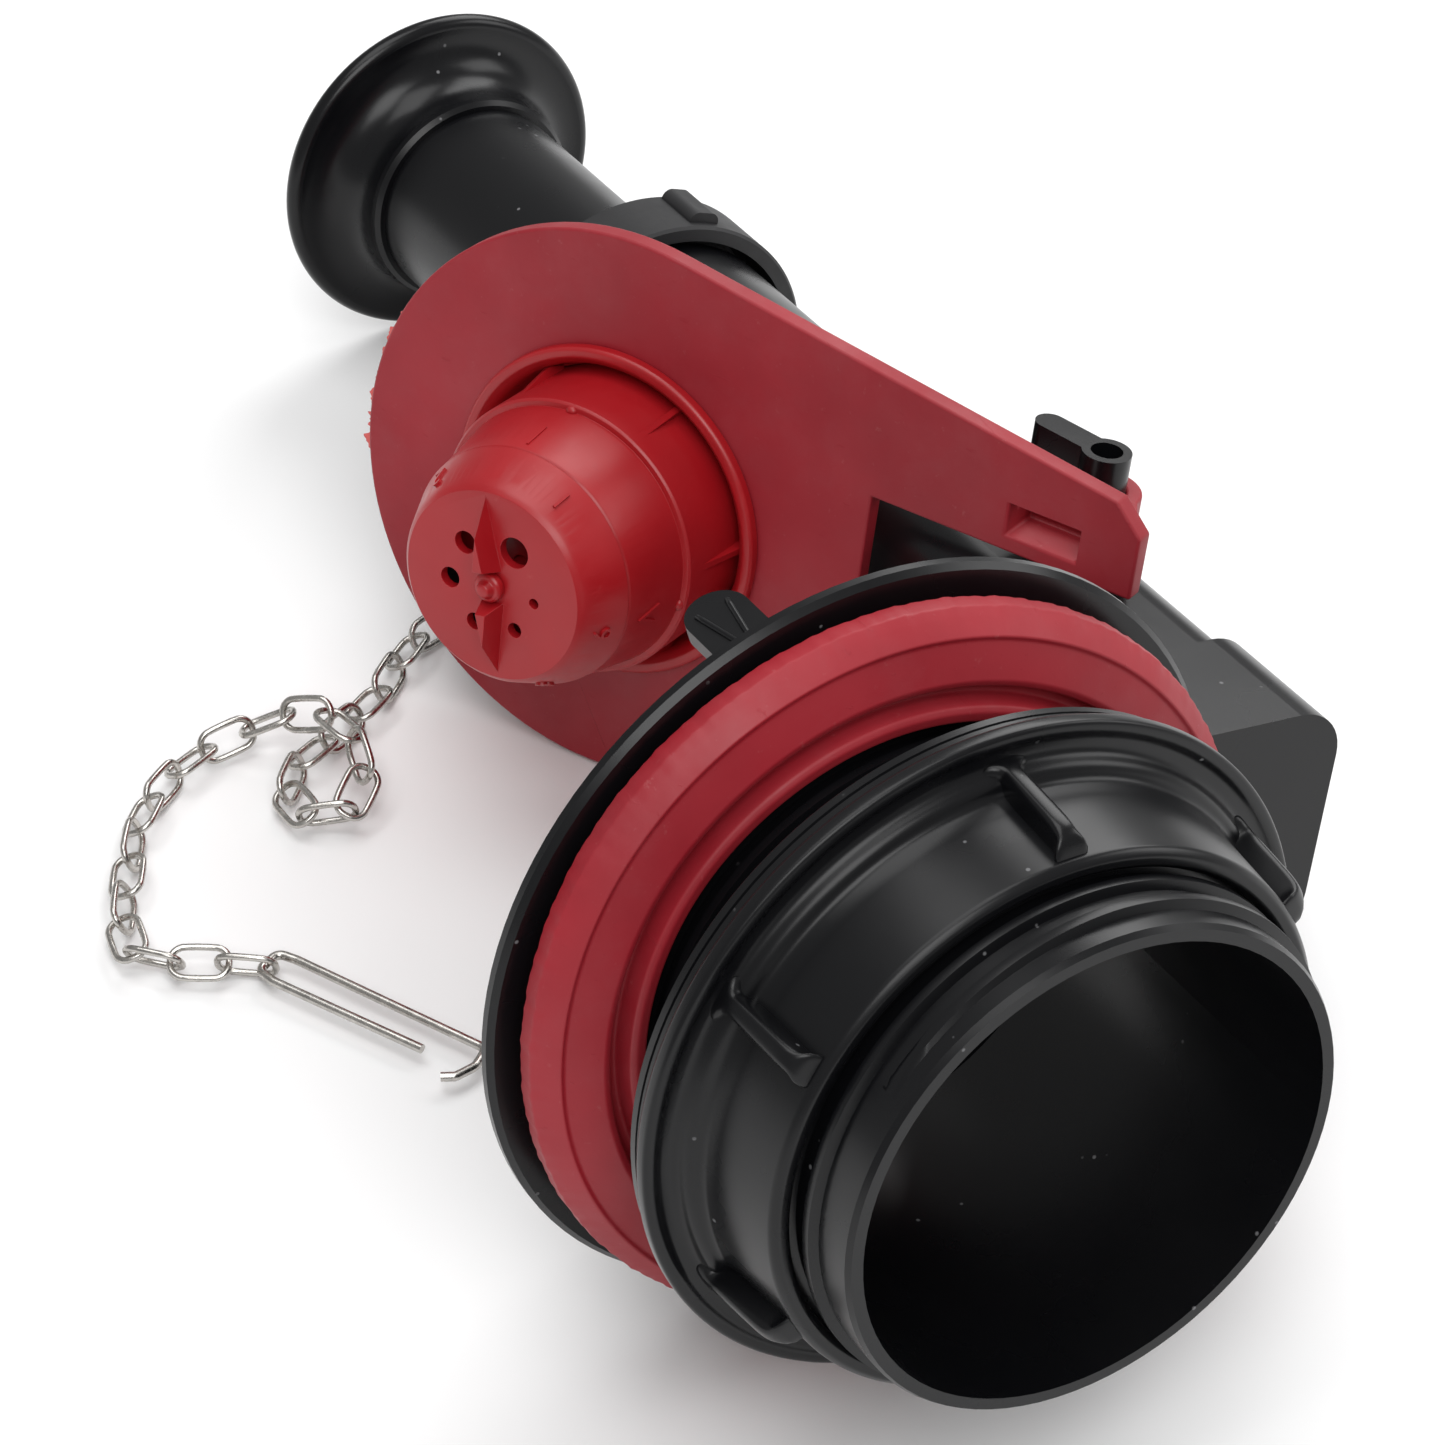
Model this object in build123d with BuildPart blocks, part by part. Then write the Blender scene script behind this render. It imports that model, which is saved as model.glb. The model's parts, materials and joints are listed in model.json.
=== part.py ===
from build123d import *
import math
import os

# Toilet-tank flush valve of the 3-inch class, in millimetres. The frame is the installed valve's: +Z up
# the valve axis into the tank, z = 0 on the underside of the tank flange, +X towards the overflow tube,
# Y along the flapper's hinge pins. The flapper stands open and the chain lies on the surface that the
# valve rests on.

# ---- shank, flange and seat ----------------------------------------------------------------------
bore_radius = 38.6
shank_radius = 41.0
shank_length = 63.2
mouth_bevel = 1.0
thread_height = 1.5
thread_pitch = 5.0
thread_first = 8.0
thread_turns = 9
thread_crest = 1.4
thread_root = 3.0
flange_radius = 62.7
flange_thickness = 3.1
flange_edge_round = 0.9
seat_tilt = 10.0
seat_outer_radius = 39.0
seat_bore_radius = 35.5
throat_height = 8.0

# ---- side passage, tube foot and tubes -----------------------------------------------------------
tube_x = 61.0
foot_front_x = 53.2
foot_back_x = 85.0
foot_half_width = 20.0
foot_corner = 8.0
foot_wall = 2.6
foot_top = 112.0
socket_start = 124.0
socket_top = 134.0
box_front_x = 28.0
box_back_x = 86.5
box_half_width = 22.0
box_top = 24.0
box_corner = 9.0
lower_tube_radius = 24.7
lower_tube_wall = 2.4
lower_tube_top = 168.0
upper_tube_radius = 18.8
upper_tube_wall = 2.2
upper_tube_bottom = 134.6
upper_tube_top = 243.0
tube_seal_wire = 1.75
tube_seal_height = 152.0
funnel_base = 237.0
funnel_rim_radius = 32.1
funnel_top = 253.4
funnel_wall = 1.8
funnel_lip = 2.0
collar_radius = 28.9
collar_skirt_radius = 26.1
collar_bottom = 165.0
collar_top = 179.0
collar_web = 2.6
collar_lug_width = 6.0
collar_lug_height = 1.8
collar_lug_angle = -78.0

# ---- hinge ---------------------------------------------------------------------------------------
pin_x = 80.0
pin_height = 61.0
pin_offset = 19.0
peg_radius = 4.2
peg_bore_radius = 2.7
peg_bore_depth = 12.0
peg_end = 36.0
hook_length = 12.0
hook_width = 5.2
hook_thickness = 4.4
hook_lean = -16.0
pin_clearance = 0.1

# ---- guide tab beside the seat -------------------------------------------------------------------
tab_radius = 51.8
tab_angle = -113.0
tab_width = 10.0
tab_thickness = 3.0
tab_top = 23.5

# ---- flapper -------------------------------------------------------------------------------------
flapper_open_angle = 62.5
flapper_radius = 49.75
flapper_side_play = 1.2
flapper_thickness = 3.6
arm_half_width = 37.5
arm_gap_half_width = 21.4
arm_gap_start = 48.6
arm_end = 96.5
arm_end_round = 5.0
ear_start = 70.5
ear_back = 7.0
ear_outer = 28.0
arm_pocket_length = 13.0
arm_pocket_width = 5.8
arm_pocket_start = 73.2
arm_pocket_inner = 24.2
arm_pocket_depth = 8.5
cup_hole_radius = 26.8

# ---- bleed cup, ring, retainer and dial ----------------------------------------------------------
ring_radius = 28.0
ring_width = 1.6
ring_proud = 2.2
ring_flange_radius = 31.0
channel_floor = -4.8
rib_count = 6
rib_start = 5.0
rib_thickness = 1.1
cup_lip_radius = 24.6
cup_lip_height = 13.5
cup_seam_radius = 21.1
cup_seam_height = 26.5
cup_wall = 1.8
cup_shoulder = 1.3
dial_face_radius = 16.7
dial_face_height = 35.4
dial_wall = 1.8
dial_gap = 0.3
dial_hole_radii = (2.7, 2.0, 1.8, 1.5, 1.3, 0.9)
dial_hole_circle = 8.3
dial_hole_angles = (65.0, 136.0, 192.0, 252.0, 309.0, 359.0)
fin_angle = 101.0
fin_length = 14.6
fin_width = 4.4
fin_height = 4.2
fin_taper = 14.0
rivet_radius = 1.7
rivet_head_radius = 2.6
rivet_head_height = 1.6
rivet_play = 0.15
dial_seal_radius = 13.4
dial_seal_wire = 0.9
retainer_radius = 33.0
retainer_thickness = 2.2
retainer_hub_radius = 22.4
post_width = 7.0
post_thickness = 2.4
post_height = 8.5
post_eye_radius = 1.5
post_eye_inset = 3.2
post_place = -24.0

# ---- gasket, washer and locknut ------------------------------------------------------------------
gasket_radius = 59.6
gasket_back = 3.4
gasket_bevel_radius = 56.4
gasket_bevel = 6.4
gasket_face_radius = 49.6
gasket_face = 8.6
gasket_groove = 5.6
gasket_ridge_radius = 46.8
gasket_bore_radius = 43.6
gasket_lean = 4.5
gasket_place = 6.0
washer_radius = 53.8
washer_thickness = 4.6
washer_groove = 0.5
nut_flange_place = 32.3
nut_flange_radius = 55.4
nut_flange_thickness = 2.8
nut_hub_radius = 47.4
nut_end_radius = 45.8
nut_height = 21.8
nut_bore_clearance = 0.1
nut_lug_count = 6
nut_lug_angle = -35.0
nut_lug_thickness = 3.4
nut_lug_radius = 51.6
nut_lug_end_radius = 49.4

# ---- chain and clip, with the route's points on the surface that the valve rests on --------------
link_wire = 1.2
link_length = 11.0
link_width = 6.8
link_play = 0.55
link_count = 32
link_roll = 20.0
link_roll_spread = 4
chain_ring_radius = 4.2
chain_ring_wire = 1.2
chain_route = (
    (150.3, -26.0, 21.0),
    (149.4, -28.5, 11.0),
    (152.0, -30.0, 5.0),
    (158.0, -24.5, 3.6),
    (161.0, -14.5, 3.6),
    (158.0, -4.0, 3.6),
    (150.0, 4.0, 3.6),
    (144.5, 13.0, 3.6),
    (141.0, 22.0, 3.6),
    (137.0, 31.0, 3.6),
    (130.0, 34.5, 3.7),
    (122.6, 32.0, 4.2),
    (121.2, 24.4, 5.4),
    (127.4, 19.4, 8.2),
    (136.0, 19.0, 10.8),
    (144.5, 21.8, 9.8),
    (149.5, 30.0, 5.2),
    (150.5, 39.5, 3.6),
    (147.0, 48.0, 3.6),
    (141.5, 56.0, 3.6),
    (135.0, 61.0, 3.6),
    (127.5, 65.5, 3.6),
    (119.5, 70.0, 3.6),
    (112.2, 74.2, 3.6),
    (105.8, 70.8, 3.6),
    (101.5, 62.5, 3.6),
    (96.0, 55.0, 3.4),
    (91.0, 48.5, 3.2),
)
clip_wire = 1.6
clip_eye_radius = 3.1
clip_length = 38.0
clip_width = 9.6
clip_heading = 204.0
clip_height = 3.0

os.makedirs("parts", exist_ok=True)


def section_plane(plane):
    """Plane through the given plane's axis, with its own y along that axis, for turned profiles."""
    return Plane(origin=plane.origin, x_dir=plane.x_dir, z_dir=-plane.y_dir)


def save(part, name):
    """Labels a finished piece and writes it."""
    part.label = name
    export_step(part, f"parts/{name}.step")
    print(name, round(part.volume), "mm3")


# ---- derived places ------------------------------------------------------------------------------
open_angle = math.radians(flapper_open_angle)
along_arms = Vector(math.cos(open_angle), 0, -math.sin(open_angle))
cup_axis = Vector(-math.sin(open_angle), 0, -math.cos(open_angle))
pin_centre = Vector(pin_x, -flapper_side_play, pin_height)
pin_reach = pin_x
flap = Plane(
    origin=pin_centre - along_arms * pin_reach + cup_axis * pin_offset,
    x_dir=along_arms,
    z_dir=cup_axis,
)
flap_section = section_plane(flap)
flap_axis = Axis(flap.origin, flap.z_dir)
tube_plane = Plane(origin=(tube_x, 0, 0), x_dir=(1, 0, 0), z_dir=(0, 0, 1))
tube_section = section_plane(tube_plane)
tube_axis = Axis(tube_plane.origin, tube_plane.z_dir)

# the closed flapper's disc lies in this plane, which falls away from the overflow tube
tilt = math.radians(seat_tilt)
seat_plane = Plane(
    origin=(
        pin_x - pin_reach * math.cos(tilt) + pin_offset * math.sin(tilt),
        0,
        pin_height - pin_reach * math.sin(tilt) - pin_offset * math.cos(tilt),
    ),
    x_dir=(math.cos(tilt), 0, math.sin(tilt)),
    z_dir=(-math.sin(tilt), 0, math.cos(tilt)),
)
tower_height = seat_plane.origin.Z + flange_radius * math.sin(tilt)

# ---- valve body ----------------------------------------------------------------------------------
foot_length = foot_back_x - foot_front_x
foot_middle = (foot_back_x + foot_front_x) / 2
box_length = box_back_x - box_front_x
box_middle = (box_back_x + box_front_x) / 2
with BuildPart() as valve_body:
    with BuildSketch(Plane.XZ):
        with BuildLine():
            Polyline(
                (bore_radius, -shank_length),
                (shank_radius - mouth_bevel / 2, -shank_length),
                (shank_radius, -shank_length + mouth_bevel),
                (shank_radius, 0),
                (flange_radius - flange_edge_round, 0),
                (flange_radius, flange_edge_round),
                (flange_radius, flange_thickness - flange_edge_round),
                (flange_radius - flange_edge_round, flange_thickness),
                (seat_outer_radius, flange_thickness),
                (seat_outer_radius, tower_height),
                (seat_bore_radius, tower_height),
                (seat_bore_radius, throat_height),
                (bore_radius, 0),
                close=True,
            )
        make_face()
    revolve(axis=Axis.Z)
    # seat face across the tower
    with BuildSketch(seat_plane):
        Circle(flange_radius)
    extrude(amount=tower_height, mode=Mode.SUBTRACT)
    # side passage that carries the overflow down into the shank
    with BuildSketch(Plane.XY):
        with Locations((box_middle, 0)):
            RectangleRounded(box_length, 2 * box_half_width, box_corner)
    extrude(amount=box_top)
    # tube foot with flat sides, then a round socket
    with BuildSketch(Plane.XY.offset(flange_thickness)):
        with Locations((foot_middle, 0)):
            RectangleRounded(foot_length, 2 * foot_half_width, foot_corner)
    extrude(amount=foot_top - flange_thickness)
    with BuildSketch(Plane.XY.offset(foot_top)):
        with Locations((foot_middle, 0)):
            RectangleRounded(foot_length, 2 * foot_half_width, foot_corner)
    with BuildSketch(Plane.XY.offset(socket_start)):
        with Locations((tube_x, 0)):
            Circle(lower_tube_radius)
    loft()
    with BuildSketch(Plane.XY.offset(socket_start)):
        with Locations((tube_x, 0)):
            Circle(lower_tube_radius)
    extrude(amount=socket_top - socket_start)
    # hollow of socket, foot and passage
    with BuildSketch(Plane.XY.offset(socket_start)):
        with Locations((tube_x, 0)):
            Circle(lower_tube_radius - lower_tube_wall)
    extrude(amount=socket_top - socket_start, mode=Mode.SUBTRACT)
    with BuildSketch(Plane.XY.offset(foot_top)):
        with Locations((foot_middle, 0)):
            RectangleRounded(
                foot_length - 2 * foot_wall, 2 * (foot_half_width - foot_wall), foot_corner - foot_wall
            )
    with BuildSketch(Plane.XY.offset(socket_start)):
        with Locations((tube_x, 0)):
            Circle(lower_tube_radius - lower_tube_wall)
    loft(mode=Mode.SUBTRACT)
    with BuildSketch(Plane.XY.offset(foot_wall)):
        with Locations((foot_middle, 0)):
            RectangleRounded(
                foot_length - 2 * foot_wall, 2 * (foot_half_width - foot_wall), foot_corner - foot_wall
            )
    extrude(amount=foot_top - foot_wall, mode=Mode.SUBTRACT)
    with BuildSketch(Plane.XY.offset(throat_height)):
        Rectangle(foot_middle, 2 * (foot_half_width - foot_wall), align=(Align.MIN, Align.CENTER))
    extrude(amount=box_top - foot_wall - throat_height, mode=Mode.SUBTRACT)
    # nothing stands in the waterway
    with BuildSketch(Plane.XY.offset(throat_height)):
        Circle(seat_bore_radius)
    extrude(amount=box_top - throat_height + 1, mode=Mode.SUBTRACT)
    with BuildSketch(Plane.XZ):
        with BuildLine():
            Polyline(
                (0, 0),
                (bore_radius, 0),
                (seat_bore_radius, throat_height),
                (0, throat_height),
                close=True,
            )
        make_face()
    revolve(axis=Axis.Z, mode=Mode.SUBTRACT)
    # thread ridges on the shank
    with BuildSketch(Plane.XZ):
        for turn in range(thread_turns):
            ridge = -thread_first - turn * thread_pitch
            with BuildLine():
                Polyline(
                    (shank_radius - 0.5, ridge + thread_root / 2),
                    (shank_radius + thread_height, ridge + thread_crest / 2),
                    (shank_radius + thread_height, ridge - thread_crest / 2),
                    (shank_radius - 0.5, ridge - thread_root / 2),
                    close=True,
                )
            make_face()
    revolve(axis=Axis.Z)
    # hinge pegs, one each side of the foot, each with a hook at its end
    for side in (-1, 1):
        peg_base = Plane(
            origin=(pin_x, side * (foot_half_width - 1), pin_height),
            x_dir=(1, 0, 0),
            z_dir=(0, side, 0),
        )
        with BuildSketch(peg_base):
            Circle(peg_radius)
        extrude(amount=peg_end - foot_half_width + 1)
        hook_plane = Plane(
            origin=(pin_x, side * peg_end, pin_height),
            x_dir=(math.sin(math.radians(hook_lean)), 0, math.cos(math.radians(hook_lean))),
            z_dir=(0, -side, 0),
        )
        with BuildSketch(hook_plane):
            with Locations((hook_length / 2, 0)):
                SlotCenterToCenter(hook_length, hook_width)
        extrude(amount=hook_thickness)
        with BuildSketch(hook_plane):
            Circle(peg_bore_radius)
        extrude(amount=peg_bore_depth, mode=Mode.SUBTRACT)
    # guide tab with a round top, outside the closed flapper's edge
    tab_heading = math.radians(tab_angle)
    tab_out = Vector(math.cos(tab_heading), math.sin(tab_heading), 0)
    tab_plane = Plane(
        origin=tab_out * (tab_radius - tab_thickness / 2) + Vector(0, 0, flange_thickness - 0.5),
        x_dir=tab_out.cross(Vector(0, 0, 1)) * -1,
        z_dir=tab_out,
    )
    tab_straight = tab_top - flange_thickness + 0.5 - tab_width / 2
    with BuildSketch(tab_plane):
        Rectangle(tab_width, tab_straight, align=(Align.CENTER, Align.MIN))
        with Locations((0, tab_straight)):
            Circle(tab_width / 2)
    extrude(amount=tab_thickness)
save(valve_body.part, "valve_body")

# ---- overflow tubes, funnel, collar and seal -----------------------------------------------------
with BuildPart() as lower_tube:
    with BuildSketch(tube_section):
        with BuildLine():
            Polyline(
                (lower_tube_radius - lower_tube_wall, socket_top),
                (lower_tube_radius, socket_top),
                (lower_tube_radius, lower_tube_top - 1.2),
                (lower_tube_radius - 1.2, lower_tube_top),
                (lower_tube_radius - lower_tube_wall, lower_tube_top),
                close=True,
            )
        make_face()
    revolve(axis=tube_axis)
save(lower_tube.part, "lower_tube")

seal_gap = lower_tube_radius - lower_tube_wall - upper_tube_radius
with BuildPart() as upper_tube:
    with BuildSketch(tube_section):
        with BuildLine():
            Polyline(
                (upper_tube_radius - upper_tube_wall, upper_tube_bottom),
                (upper_tube_radius, upper_tube_bottom),
                (upper_tube_radius, tube_seal_height - 4),
                (upper_tube_radius + seal_gap - 0.3, tube_seal_height - 4),
                (upper_tube_radius + seal_gap - 0.3, tube_seal_height - tube_seal_wire),
                (upper_tube_radius, tube_seal_height - tube_seal_wire),
                (upper_tube_radius, upper_tube_top),
                (upper_tube_radius - upper_tube_wall, upper_tube_top),
                close=True,
            )
        make_face()
    revolve(axis=tube_axis)
save(upper_tube.part, "upper_tube")

with BuildPart() as tube_seal:
    with BuildSketch(tube_section):
        with Locations((upper_tube_radius + seal_gap / 2, tube_seal_height)):
            Circle(min(tube_seal_wire, seal_gap / 2) - 0.05)
    revolve(axis=tube_axis)
save(tube_seal.part, "tube_seal")

sleeve_radius = upper_tube_radius + funnel_wall
with BuildPart() as overflow_funnel:
    with BuildSketch(tube_section):
        with BuildLine():
            outer = ThreePointArc(
                (sleeve_radius, funnel_base + 2),
                (sleeve_radius + 2.2, funnel_top - 6.2),
                (funnel_rim_radius - funnel_lip, funnel_top - 2 * funnel_lip),
            )
            lip = ThreePointArc(
                outer @ 1,
                (funnel_rim_radius, funnel_top - funnel_lip),
                (funnel_rim_radius - funnel_lip, funnel_top),
            )
            inner = ThreePointArc(
                lip @ 1,
                (sleeve_radius + 1.4, funnel_top - 2.6),
                (upper_tube_radius - 0.4, upper_tube_top),
            )
            Polyline(
                inner @ 1,
                (upper_tube_radius, upper_tube_top),
                (upper_tube_radius, funnel_base),
                (sleeve_radius - 0.8, funnel_base),
                (sleeve_radius, funnel_base + 0.8),
                (sleeve_radius, funnel_base + 2),
            )
        make_face()
    revolve(axis=tube_axis)
save(overflow_funnel.part, "overflow_funnel")

with BuildPart() as tube_collar:
    with BuildSketch(tube_section):
        with BuildLine():
            Polyline(
                (collar_skirt_radius, collar_bottom),
                (collar_radius - 0.5, collar_bottom),
                (collar_radius, collar_bottom + 0.5),
                (collar_radius, collar_top - 1.5),
                (collar_radius - 1.5, collar_top),
                (upper_tube_radius, collar_top),
                (upper_tube_radius, collar_top - collar_web),
                (collar_skirt_radius - 1, collar_top - collar_web),
                (collar_skirt_radius, collar_top - collar_web - 1),
                close=True,
            )
        make_face()
    revolve(axis=tube_axis)
    lug_plane = tube_plane.offset(collar_bottom + 2).rotated((0, 0, collar_lug_angle))
    with BuildSketch(lug_plane):
        with Locations((collar_radius, 0)):
            SlotOverall(collar_lug_width, 2 * collar_lug_height, rotation=90)
    extrude(amount=collar_top - collar_bottom - 4)
save(tube_collar.part, "tube_collar")

# ---- flapper -------------------------------------------------------------------------------------
ear_depth = pin_offset + ear_back
with BuildPart() as flapper:
    with BuildSketch(flap):
        Circle(flapper_radius)
        tangent = math.acos((flapper_radius - arm_half_width) / (arm_end - arm_end_round))
        touch = (flapper_radius * math.cos(tangent), flapper_radius * math.sin(tangent))
        with BuildLine():
            Polyline(
                (0, 0),
                (touch[0], touch[1]),
                (arm_end - arm_end_round, arm_half_width),
                (arm_end, arm_half_width - arm_end_round),
                (arm_end, arm_half_width - arm_end_round - 1),
                (arm_end, -arm_half_width + arm_end_round + 1),
                (arm_end, -arm_half_width + arm_end_round),
                (arm_end - arm_end_round, -arm_half_width),
                (touch[0], -touch[1]),
                close=True,
            )
        make_face()
        with Locations((arm_gap_start, 0)):
            Rectangle(arm_end, 2 * arm_gap_half_width, align=(Align.MIN, Align.CENTER), mode=Mode.SUBTRACT)
        Circle(cup_hole_radius, mode=Mode.SUBTRACT)
    extrude(amount=-flapper_thickness)
    # ears behind the arms, bored for the pegs
    for side in (-1, 1):
        ear_plane = Plane(
            origin=flap.origin + flap.y_dir * side * arm_gap_half_width,
            x_dir=flap.x_dir,
            z_dir=flap.y_dir * side,
        )
        pin_y = (pin_centre - ear_plane.origin).dot(ear_plane.y_dir)
        turn = 1 if pin_y > 0 else -1
        with BuildSketch(ear_plane):
            with BuildLine():
                Polyline(
                    (ear_start, 0),
                    (arm_end - 1.5, 0),
                    (arm_end - 1.5, turn * flapper_thickness),
                    (pin_reach + ear_back, turn * pin_offset),
                    (pin_reach, turn * ear_depth),
                    (pin_reach - ear_back, turn * pin_offset),
                    (ear_start, turn * flapper_thickness),
                    close=True,
                )
            make_face()
            with Locations((pin_reach, turn * pin_offset)):
                Circle(ear_back)
            with Locations((pin_reach, turn * pin_offset)):
                Circle(peg_radius + pin_clearance, mode=Mode.SUBTRACT)
        extrude(amount=ear_outer - arm_gap_half_width)
        with BuildSketch(flap):
            pocket_middle = side * (arm_pocket_inner + arm_pocket_width / 2)
            with Locations((arm_pocket_start + arm_pocket_length / 2, pocket_middle)):
                Rectangle(arm_pocket_length, arm_pocket_width)
        extrude(amount=-arm_pocket_depth, mode=Mode.SUBTRACT)
save(flapper.part, "flapper")

# ---- bleed cup assembly --------------------------------------------------------------------------
with BuildPart() as cup_ring:
    with BuildSketch(flap_section):
        with BuildLine():
            Polyline(
                (cup_lip_radius + 0.2, channel_floor - 0.1),
                (cup_hole_radius - 0.1, channel_floor - 0.1),
                (cup_hole_radius - 0.1, 0.1),
                (ring_radius + ring_width, 0.1),
                (ring_radius + ring_width, ring_proud - 0.5),
                (ring_radius + ring_width - 0.5, ring_proud),
                (ring_radius - 0.2, ring_proud),
                (ring_radius - 1.6, ring_proud - 1.4),
                (cup_hole_radius - 1.5, channel_floor + 1.4),
                (cup_lip_radius + 0.2, channel_floor + 1.4),
                close=True,
            )
        make_face()
    revolve(axis=flap_axis)
save(cup_ring.part, "cup_ring")

cup_slope = (cup_lip_radius - cup_seam_radius) / (cup_seam_height - cup_lip_height)
cup_floor_radius = cup_seam_radius - cup_wall
with BuildPart() as bleed_cup:
    with BuildSketch(flap_section):
        with BuildLine():
            Polyline(
                (cup_lip_radius - cup_wall, channel_floor - 0.1),
                (cup_lip_radius, channel_floor - 0.1),
                (cup_lip_radius, cup_lip_height - 0.4),
                (cup_lip_radius - 0.4, cup_lip_height),
                (cup_lip_radius - cup_shoulder, cup_lip_height),
                (cup_seam_radius, cup_seam_height - 0.4),
                (cup_seam_radius - 0.4, cup_seam_height),
                (rivet_radius + rivet_play, cup_seam_height),
                (rivet_radius + rivet_play, cup_seam_height - cup_wall),
                (cup_floor_radius, cup_seam_height - cup_wall),
                (cup_lip_radius - cup_wall - cup_shoulder, cup_lip_height - 1),
                close=True,
            )
        make_face()
    revolve(axis=flap_axis)
    # radial ribs across the channel
    with BuildSketch(flap_section):
        with BuildLine():
            Polyline(
                (cup_lip_radius - 0.6, channel_floor + 1.6),
                (cup_hole_radius - 1.6, channel_floor + 1.6),
                (ring_radius - 1.8, ring_proud - 1.8),
                (cup_lip_radius - 0.6, cup_lip_height - 0.9),
                close=True,
            )
        make_face()
    rib = extrude(amount=rib_thickness / 2, both=True, mode=Mode.PRIVATE)
    for turn in range(rib_count):
        add(rib.rotate(flap_axis, rib_start + turn * 360 / rib_count))
    # one open sector under the dial's holes
    with BuildSketch(flap.offset(cup_seam_height)):
        with PolarLocations(dial_hole_circle, 1, start_angle=dial_hole_angles[0]):
            Circle(dial_hole_radii[0])
    extrude(amount=-2 * cup_wall, mode=Mode.SUBTRACT)
save(bleed_cup.part, "bleed_cup")

dial_base = cup_seam_height + dial_gap
with BuildPart() as bleed_dial:
    with BuildSketch(flap_section):
        with BuildLine():
            Polyline(
                (rivet_radius + rivet_play, dial_face_height - dial_wall),
                (dial_face_radius - dial_wall, dial_face_height - dial_wall),
                (cup_seam_radius - dial_wall, dial_base),
                (cup_seam_radius, dial_base),
                (dial_face_radius + 1.0, dial_face_height - 1.0),
                (dial_face_radius, dial_face_height),
                (rivet_radius + rivet_play, dial_face_height),
                close=True,
            )
        make_face()
    revolve(axis=flap_axis)
    with BuildSketch(flap.offset(dial_face_height)):
        for radius, angle in zip(dial_hole_radii, dial_hole_angles):
            with PolarLocations(dial_hole_circle, 1, start_angle=angle):
                Circle(radius)
    extrude(amount=-dial_wall, mode=Mode.SUBTRACT)
    # two finger fins, widest beside the rivet
    for heading in (fin_angle, fin_angle + 180):
        fin_turn = math.radians(heading)
        fin_plane = Plane(
            origin=flap.origin + flap.z_dir * (dial_face_height - 0.2),
            x_dir=flap.x_dir * math.cos(fin_turn) + flap.y_dir * math.sin(fin_turn),
            z_dir=flap.z_dir,
        )
        with BuildSketch(fin_plane):
            with BuildLine():
                Polyline(
                    (rivet_head_radius + rivet_play, -fin_width / 2),
                    (fin_length + 1.5, 0),
                    (rivet_head_radius + rivet_play, fin_width / 2),
                    close=True,
                )
            make_face()
        extrude(amount=fin_height, taper=fin_taper)
save(bleed_dial.part, "bleed_dial")

rivet_tail = cup_seam_height - cup_wall - rivet_play
rivet_seat = dial_face_height + rivet_play
with BuildPart() as dial_rivet:
    with BuildSketch(flap_section):
        with BuildLine():
            Polyline(
                (0, rivet_tail - 1.6),
                (rivet_radius + 1.2, rivet_tail - 1.6),
                (rivet_radius + 1.2, rivet_tail),
                (rivet_radius, rivet_tail),
                (rivet_radius, rivet_seat),
                (rivet_head_radius, rivet_seat),
                (rivet_head_radius, rivet_seat + rivet_head_height - 0.5),
                (rivet_head_radius - 0.5, rivet_seat + rivet_head_height),
                (rivet_radius, rivet_seat + rivet_head_height),
                (rivet_radius - 0.6, rivet_seat + rivet_head_height + 1.2),
                (0, rivet_seat + rivet_head_height + 1.4),
                close=True,
            )
        make_face()
    revolve(axis=flap_axis)
save(dial_rivet.part, "dial_rivet")

with BuildPart() as dial_seal:
    with BuildSketch(flap.offset(cup_seam_height)):
        Circle(dial_seal_radius + dial_seal_wire)
        Circle(dial_seal_radius, mode=Mode.SUBTRACT)
    extrude(amount=dial_face_height - dial_wall - cup_seam_height - 0.1)
save(dial_seal.part, "dial_seal")

retainer_top = -flapper_thickness - 0.1
retainer_floor = retainer_top - retainer_thickness
post_foot = flap.offset(retainer_floor)
post_eye = post_foot.origin + flap.x_dir * post_place - flap.z_dir * (post_height - post_eye_inset)
with BuildPart() as cup_retainer:
    with BuildSketch(flap_section):
        with BuildLine():
            Polyline(
                (0, retainer_floor),
                (retainer_radius - 1, retainer_floor),
                (retainer_radius, retainer_floor + 1),
                (retainer_radius, retainer_top),
                (cup_hole_radius + 0.4, retainer_top),
                (cup_hole_radius + 0.4, channel_floor - 0.2),
                (retainer_hub_radius, channel_floor - 0.2),
                (retainer_hub_radius, channel_floor + 3),
                (retainer_hub_radius - 1.6, channel_floor + 3),
                (retainer_hub_radius - 1.6, channel_floor - 0.2),
                (0, channel_floor - 0.2),
                close=True,
            )
        make_face()
    revolve(axis=flap_axis)
    with BuildSketch(post_foot):
        with Locations((post_place, 0)):
            Rectangle(post_thickness, post_width)
    extrude(amount=-post_height)
    with BuildSketch(Plane(origin=post_eye, x_dir=flap.y_dir, z_dir=flap.x_dir)):
        Circle(post_eye_radius)
    extrude(amount=post_thickness, both=True, mode=Mode.SUBTRACT)
save(cup_retainer.part, "cup_retainer")

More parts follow.
